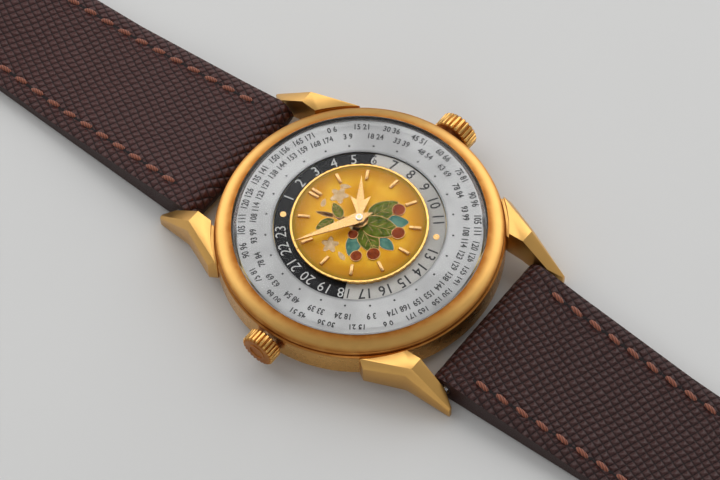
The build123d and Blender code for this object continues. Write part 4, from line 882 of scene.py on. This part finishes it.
def side_view(y, lifted):
    # Lowest and highest level of the leather, which is round at its bar and at the buckle bar
    share = min(1, max(0, (y - bar_y) / (thin_y - bar_y)))
    low, high = strap_foot, strap_foot + thick + share * (thin - thick)
    if lifted:
        rise = lift * min(1, max(0, (y - ramp_y) / (ramp_end_y - ramp_y)))
        low, high = low + rise, high + rise
    if y < bar_y:
        bow = math.sqrt(max(0, (thick / 2) ** 2 - (bar_y - y) ** 2))
        low, high = bar_z - bow, bar_z + bow
    if lifted and y > buckle_bar_y:
        middle = strap_foot + lift + thin / 2
        bow = math.sqrt(max(0, fold_radius**2 - (y - buckle_bar_y) ** 2))
        low, high = middle - min(bow, thin / 2), middle + min(bow, thin / 2)
    return low, high


# %% A strap half, from a grid
grid_columns, grid_rows = 44, 130
round_rows_share, round_stretch = 0.06, 1.6
edge_roll, edge_roll_gain, edge_roll_width, edge_roll_run = 0.2, 0.22, 1.6, 6
channel_depth, channel_width = 0.16, 0.45
lining_roll, lining_roll_width = 0.3, 0.8
most_off_top_share, most_off_lining_share = 0.4, 0.3
strap_weld = 0.01


def strap_half(name, way, end, pointed, lifted):
    start = bar_y - thick / 2
    near = thick / 2 / (end - start)
    bpy.ops.object.select_all(action="DESELECT")
    bpy.ops.mesh.primitive_grid_add(x_subdivisions=grid_columns, y_subdivisions=grid_rows, size=2)
    strap = bpy.context.object
    strap.name = name
    bpy.ops.object.mode_set(mode="EDIT")
    bpy.ops.mesh.extrude_region_move(TRANSFORM_OT_translate={"value": (0, 0, -1)})
    face_outwards(strap)
    for corner in strap.data.vertices:
        # The rows are set closer where the leather bends round its bar
        across, share = corner.co.x, (corner.co.y + 1) / 2
        if share < round_rows_share:
            share = near * round_stretch * (1 - math.cos(share / round_rows_share * math.pi / 2))
        else:
            rest = (share - round_rows_share) / (1 - round_rows_share)
            share = near * round_stretch + rest * (1 - near * round_stretch)
        y = start + share * (end - start)
        half = half_width(y, pointed)
        low, high = side_view(y, lifted)
        from_edge = half * (1 - abs(across))
        if corner.co.z > -0.5:
            full_roll = edge_roll + edge_roll_gain * min(1, max(0, (y - bar_y) / edge_roll_run))
            roll = full_roll * max(0, 1 - from_edge / edge_roll_width) ** 2.2
            channel = channel_depth * math.exp(-((from_edge - stitch_inset) / channel_width) ** 2)
            z = high - min(roll + channel, (high - low) * most_off_top_share)
        else:
            roll = lining_roll * max(0, 1 - from_edge / lining_roll_width) ** 2
            z = low + min(roll, (high - low) * most_off_lining_share)
        corner.co = Vector((across * half, way * y, z)) * mm
    pick(strap)
    bpy.ops.object.mode_set(mode="EDIT")
    bpy.ops.mesh.select_all(action="SELECT")
    bpy.ops.mesh.remove_doubles(threshold=strap_weld * mm)
    face_outwards(strap)
    return strap


# %% Cutting tools
def cut(piece, cutter):
    apply_modifier(piece, "BOOLEAN", object=cutter, operation="DIFFERENCE", solver="EXACT")
    bpy.data.objects.remove(cutter)


def round_cutter(place, radius, length, turn=(0, 0, 0)):
    bpy.ops.object.select_all(action="DESELECT")
    centre = Vector(place) * mm
    bpy.ops.mesh.primitive_cylinder_add(vertices=32, radius=radius * mm, depth=length * mm, location=centre,
                                        rotation=turn)
    return bpy.context.object


# %% Both halves, with their holes
sideways = (0, math.pi / 2, 0)
bar_hole, buckle_bar_hole = 0.8, 0.65
hole_count, hole_radius, hole_pitch, last_hole, hole_depth = 7, 0.8, 6.5, 26.0, 8.0
slot_width, slot_length, slot_height, slot_z = 3, 6, 8, 2.4
through = 2 * strap_width
strap_upper = strap_half("strap_upper_leather", 1, buckle_bar_y + fold_radius, False, True)
strap_lower = strap_half("strap_lower_leather", -1, tip_y, True, False)
for way, strap in ((1, strap_upper), (-1, strap_lower)):
    cut(strap, round_cutter((0, way * bar_y, bar_z), bar_hole, through, sideways))
for hole in range(hole_count):
    hole_y = tip_y - last_hole - hole_pitch * hole
    cut(strap_lower, round_cutter((0, -hole_y, strap_foot + thin / 2), hole_radius, hole_depth))
buckle_bar_z = strap_foot + lift + thin / 2
cut(strap_upper, round_cutter((0, buckle_bar_y, buckle_bar_z), buckle_bar_hole, through, sideways))
slot_place = Vector((0, buckle_bar_y + fold_radius - slot_length / 2, slot_z)) * mm
slot_size = Vector((slot_width, slot_length, slot_height)) * mm
bpy.ops.object.select_all(action="DESELECT")
bpy.ops.mesh.primitive_cube_add(size=1, location=slot_place, scale=slot_size)
cut(strap_upper, bpy.context.object)
print("faces of the strap", len(strap_upper.data.polygons) + len(strap_lower.data.polygons))

# %% [markdown]
# The pressed grain covers the top, and the walls and the lining are plain. The faces are sorted by their
# normals.

# %% Grain on top, plain leather on the walls
top_slope = 0.35
halves = (
    (strap_upper, "strap_upper", "strap_twelve", upper_leather),
    (strap_lower, "strap_lower", "strap_six", lower_leather),
)
for strap, body, node, leather in halves:
    seat(strap, leather, body, (node,))
    strap.data.materials.append(plain_leather)
    for face in strap.data.polygons:
        face.material_index = 0 if face.normal.z > top_slope else 1
    pick(strap)
    bpy.ops.object.shade_smooth_by_angle(angle=math.radians(40))
    print(body, "grained faces", sum(1 - face.material_index for face in strap.data.polygons))

# %% [markdown]
# ## Stitching
#
# Thick thread runs along both edges, each stitch a little aslant, with a pricked hole at both ends, whose
# shade is painted as a small dark disc.
# One stitch is modelled and copied along the seam.

# %% Thread
thread = new_finish("thread", Roughness=0.65, Sheen_Weight=0.2)
thread_place = millimetres(thread, turn=math.radians(35))
twist_inputs = {"Vector": thread_place, "Scale": 1.1, "Distortion": 1.0, "Detail": 2.0}
twist = add(thread, "TexWave", twist_inputs).outputs["Fac"]
thread_dark, thread_light = (0.12, 0.028, 0.014, 1), (0.36, 0.105, 0.048, 1)
feed(thread, "Base Color", blend(thread, twist, thread_dark, thread_light))
relief(thread, twist, 0.06)
# Painted shade: the inside of a pricked hole, coloured nearly black
hole_painted_shade = ink_finish("pricked hole painted shade", (0.006, 0.003, 0.003, 1), 0.9)

# %% Where the stitches lie
seam_start, seam_step = 23.3, 0.1
stitch_pitch, middle_clear = 2.9, 0.5


def stitch_places(end, pointed):
    # Middle and direction of each stitch, at equal steps along the seam of each side
    stitches = []
    for side in (1, -1):
        points, y = [], seam_start
        while y < end:
            points.append(Vector((side * max(0.0, half_width(y, pointed) - stitch_inset), y)))
            y += seam_step
        walked = stitch_pitch / 2
        for first, second in zip(points, points[1:]):
            walked += (second - first).length
            if walked >= stitch_pitch:
                walked -= stitch_pitch
                if abs(second.x) >= middle_clear:
                    stitches.append((second, (second - first).normalized()))
    return stitches


# %% One stitch
stitch_half_length, stitch_half_width, stitch_half_height, stitch_sag = 1.0, 0.33, 0.28, 0.16


def one_stitch():
    bpy.ops.object.select_all(action="DESELECT")
    bpy.ops.mesh.primitive_uv_sphere_add(segments=10, ring_count=7, radius=mm)
    stitch = bpy.context.object
    for corner in stitch.data.vertices:
        # The pole axis of the sphere becomes the length, and the ends dip into the leather
        x, y, z = corner.co / mm
        flat = math.sqrt(max(0.0, 1 - abs(z) ** 3))
        spread = math.hypot(x, y) or 1.0
        aside = x / spread * stitch_half_width * flat
        up = y / spread * stitch_half_height * flat - stitch_sag * z * z
        corner.co = Vector((z * stitch_half_length, aside, up)) * mm
    return stitch


# %% Rows of stitches on both faces
stitch_slant = math.radians(9)
sunk_in_top, raised_from_lining = 0.04, 0.19


def stitching(name, way, end, pointed, lifted, body):
    pattern = one_stitch()
    threads = []
    for middle, heading in stitch_places(end, pointed):
        low, high = side_view(middle.y, lifted)
        low_ahead, high_ahead = side_view(middle.y + 1, lifted)
        top_side = (1, high - sunk_in_top, high_ahead - high)
        lining_side = (-1, low + raised_from_lining, low_ahead - low)
        for face, z, slope in (top_side, lining_side):
            copy = pattern.copy()
            copy.data = pattern.data.copy()
            bpy.context.scene.collection.objects.link(copy)
            turn = math.atan2(way * heading.y, heading.x) + stitch_slant * way
            tilt = Matrix.Rotation(-math.atan(slope), 4, "Y")
            flip = Matrix.Diagonal((1, 1, face, 1))
            place = Matrix.Translation(Vector((middle.x, way * middle.y, z)) * mm)
            copy.data.transform(place @ Matrix.Rotation(turn, 4, "Z") @ tilt @ flip)
            threads.append(copy)
    bpy.data.objects.remove(pattern)
    sewn = join(threads, name)
    face_outwards(sewn)
    bpy.ops.object.shade_smooth()
    seat(sewn, thread, body)
    return len(threads)


# Each seam: the body that it rides on, its way along Y, its end, pointed or not, lifted or not
seams = (
    ("strap_upper", 1, 82.0, False, True),
    ("strap_lower", -1, 133.5, True, False),
)
for body, way, end, pointed, lifted in seams:
    print(body, "stitches", stitching(body + "_thread", way, end, pointed, lifted, body))

# %% Painted shade of the pricked holes at the ends of the stitches
prick_radius, prick_depth, prick_sink, prick_reach = 0.3, 0.06, 0.15, 1.15


def pricked_holes(name, way, end, pointed, lifted, body):
    holes = []
    for middle, heading in stitch_places(end, pointed):
        for step in (-prick_reach, prick_reach):
            spot = middle + heading * step
            z = side_view(spot.y, lifted)[1] - prick_sink
            place = Vector((spot.x, way * spot.y, z)) * mm
            # Each hole's shade is a flat dark disc just under the top of the leather
            bpy.ops.object.select_all(action="DESELECT")
            bpy.ops.mesh.primitive_cylinder_add(vertices=10, radius=prick_radius * mm, depth=prick_depth * mm,
                                                location=place)
            holes.append(bpy.context.object)
    count = len(holes)
    seat(join(holes, name), hole_painted_shade, body)
    return count


for body, way, end, pointed, lifted in seams:
    print(body, "pricked holes", pricked_holes(body + "_hole_shade_discs", way, end, pointed, lifted, body))

# %% [markdown]
# ## Keepers
#
# Two leather loops hold the end of the strap. They are cut from the same pressed leather, and their edges
# are rounded.

# %% Leather loops
keeper_edge = 0.3
for keeper in ("fixed_keeper", "free_keeper"):
    loop = rounded(keeper, keeper_edge, upper_leather, segments=3)
    print(keeper, "faces", len(loop.data.polygons))

# %% [markdown]
# ## Floor, light and camera
#
# The watch lies on a plain pale floor under soft light. Polished gold shows its lamps, so two broad lamps
# stand where the slope of the bezel mirrors them, one at each side. A small one in front and one at the
# back lift the lugs, and an even sky fills the rest. The camera is a long lens at the photograph's angle.

# %% Floor and sky
bpy.ops.object.select_all(action="DESELECT")
bpy.ops.mesh.primitive_plane_add(size=4, location=(0, 0, 0))
floor = bpy.context.object
floor.name = "floor"
pale = new_finish("pale floor", Roughness=0.8)
pale_grain = noise(pale, millimetres(pale), 0.02, 2.0)
feed(pale, "Base Color", blend(pale, pale_grain, (0.66, 0.66, 0.65, 1), (0.70, 0.70, 0.69, 1)))
dress(floor, pale)

world = bpy.data.worlds.new("studio")
bpy.context.scene.world = world
world.use_nodes = True
sky = world.node_tree.nodes["Background"]
direction = world.node_tree.nodes.new("ShaderNodeTexCoord").outputs["Generated"]
height = world.node_tree.nodes.new("ShaderNodeSeparateXYZ")
world.node_tree.links.new(direction, height.inputs[0])
ramp = world.node_tree.nodes.new("ShaderNodeValToRGB")
world.node_tree.links.new(height.outputs[2], ramp.inputs[0])
horizon, zenith = (0.46, 0.46, 0.46, 1), (0.34, 0.34, 0.345, 1)
ramp.color_ramp.elements[0].color = horizon
ramp.color_ramp.elements[1].color = zenith
world.node_tree.links.new(ramp.outputs[0], sky.inputs[0])
sky.inputs[1].default_value = 1.0


# %% Lamps, aimed at the middle of the watch
# Each lamp: name, place and size in metres, and power in watts
lamps = (
    ("right lamp", (0.618, -0.043, 0.419), (0.7, 1.0), 3.0),
    ("left lamp", (0.054, 0.617, 0.419), (0.7, 1.0), 2.8),
    ("front lamp", (-0.531, -0.446, 0.40), (0.3, 0.3), 0.5),
    ("back lamp", (0.399, 0.341, 0.604), (0.45, 0.3), 0.42),
)
for name, place, size, power in lamps:
    light = bpy.data.lights.new(name, "AREA")
    light.shape = "RECTANGLE"
    light.size, light.size_y = size
    light.energy = power
    lamp = bpy.data.objects.new(name, light)
    bpy.context.scene.collection.objects.link(lamp)
    lamp.location = place
    lamp.rotation_euler = (-Vector(place)).to_track_quat("-Z", "Y").to_euler()
print("lamps", len(lamps))

# %% Camera
camera_place = Vector((-138.806, -118.501, 297.187)) * mm
camera_aim = Vector((-1.794, -1.486, 6.9)) * mm
camera_roll = math.radians(-2.912)
photo_focal_pixels, photo_width_pixels = 2766.3, 720
camera_data = bpy.data.cameras.new("camera")
camera_data.sensor_width = 36
camera_data.lens = camera_data.sensor_width * photo_focal_pixels / photo_width_pixels
camera = bpy.data.objects.new("camera", camera_data)
bpy.context.scene.collection.objects.link(camera)
camera.location = camera_place
aimed = (camera_aim - camera_place).to_track_quat("-Z", "Y").to_matrix().to_4x4()
camera.rotation_euler = (aimed @ Matrix.Rotation(camera_roll, 4, "Z")).to_euler()
camera_data.clip_start, camera_data.clip_end = 0.01, 10
bpy.context.scene.camera = camera
bpy.context.scene.view_settings.view_transform = "Standard"
print("lens", round(camera_data.lens, 1), "mm")
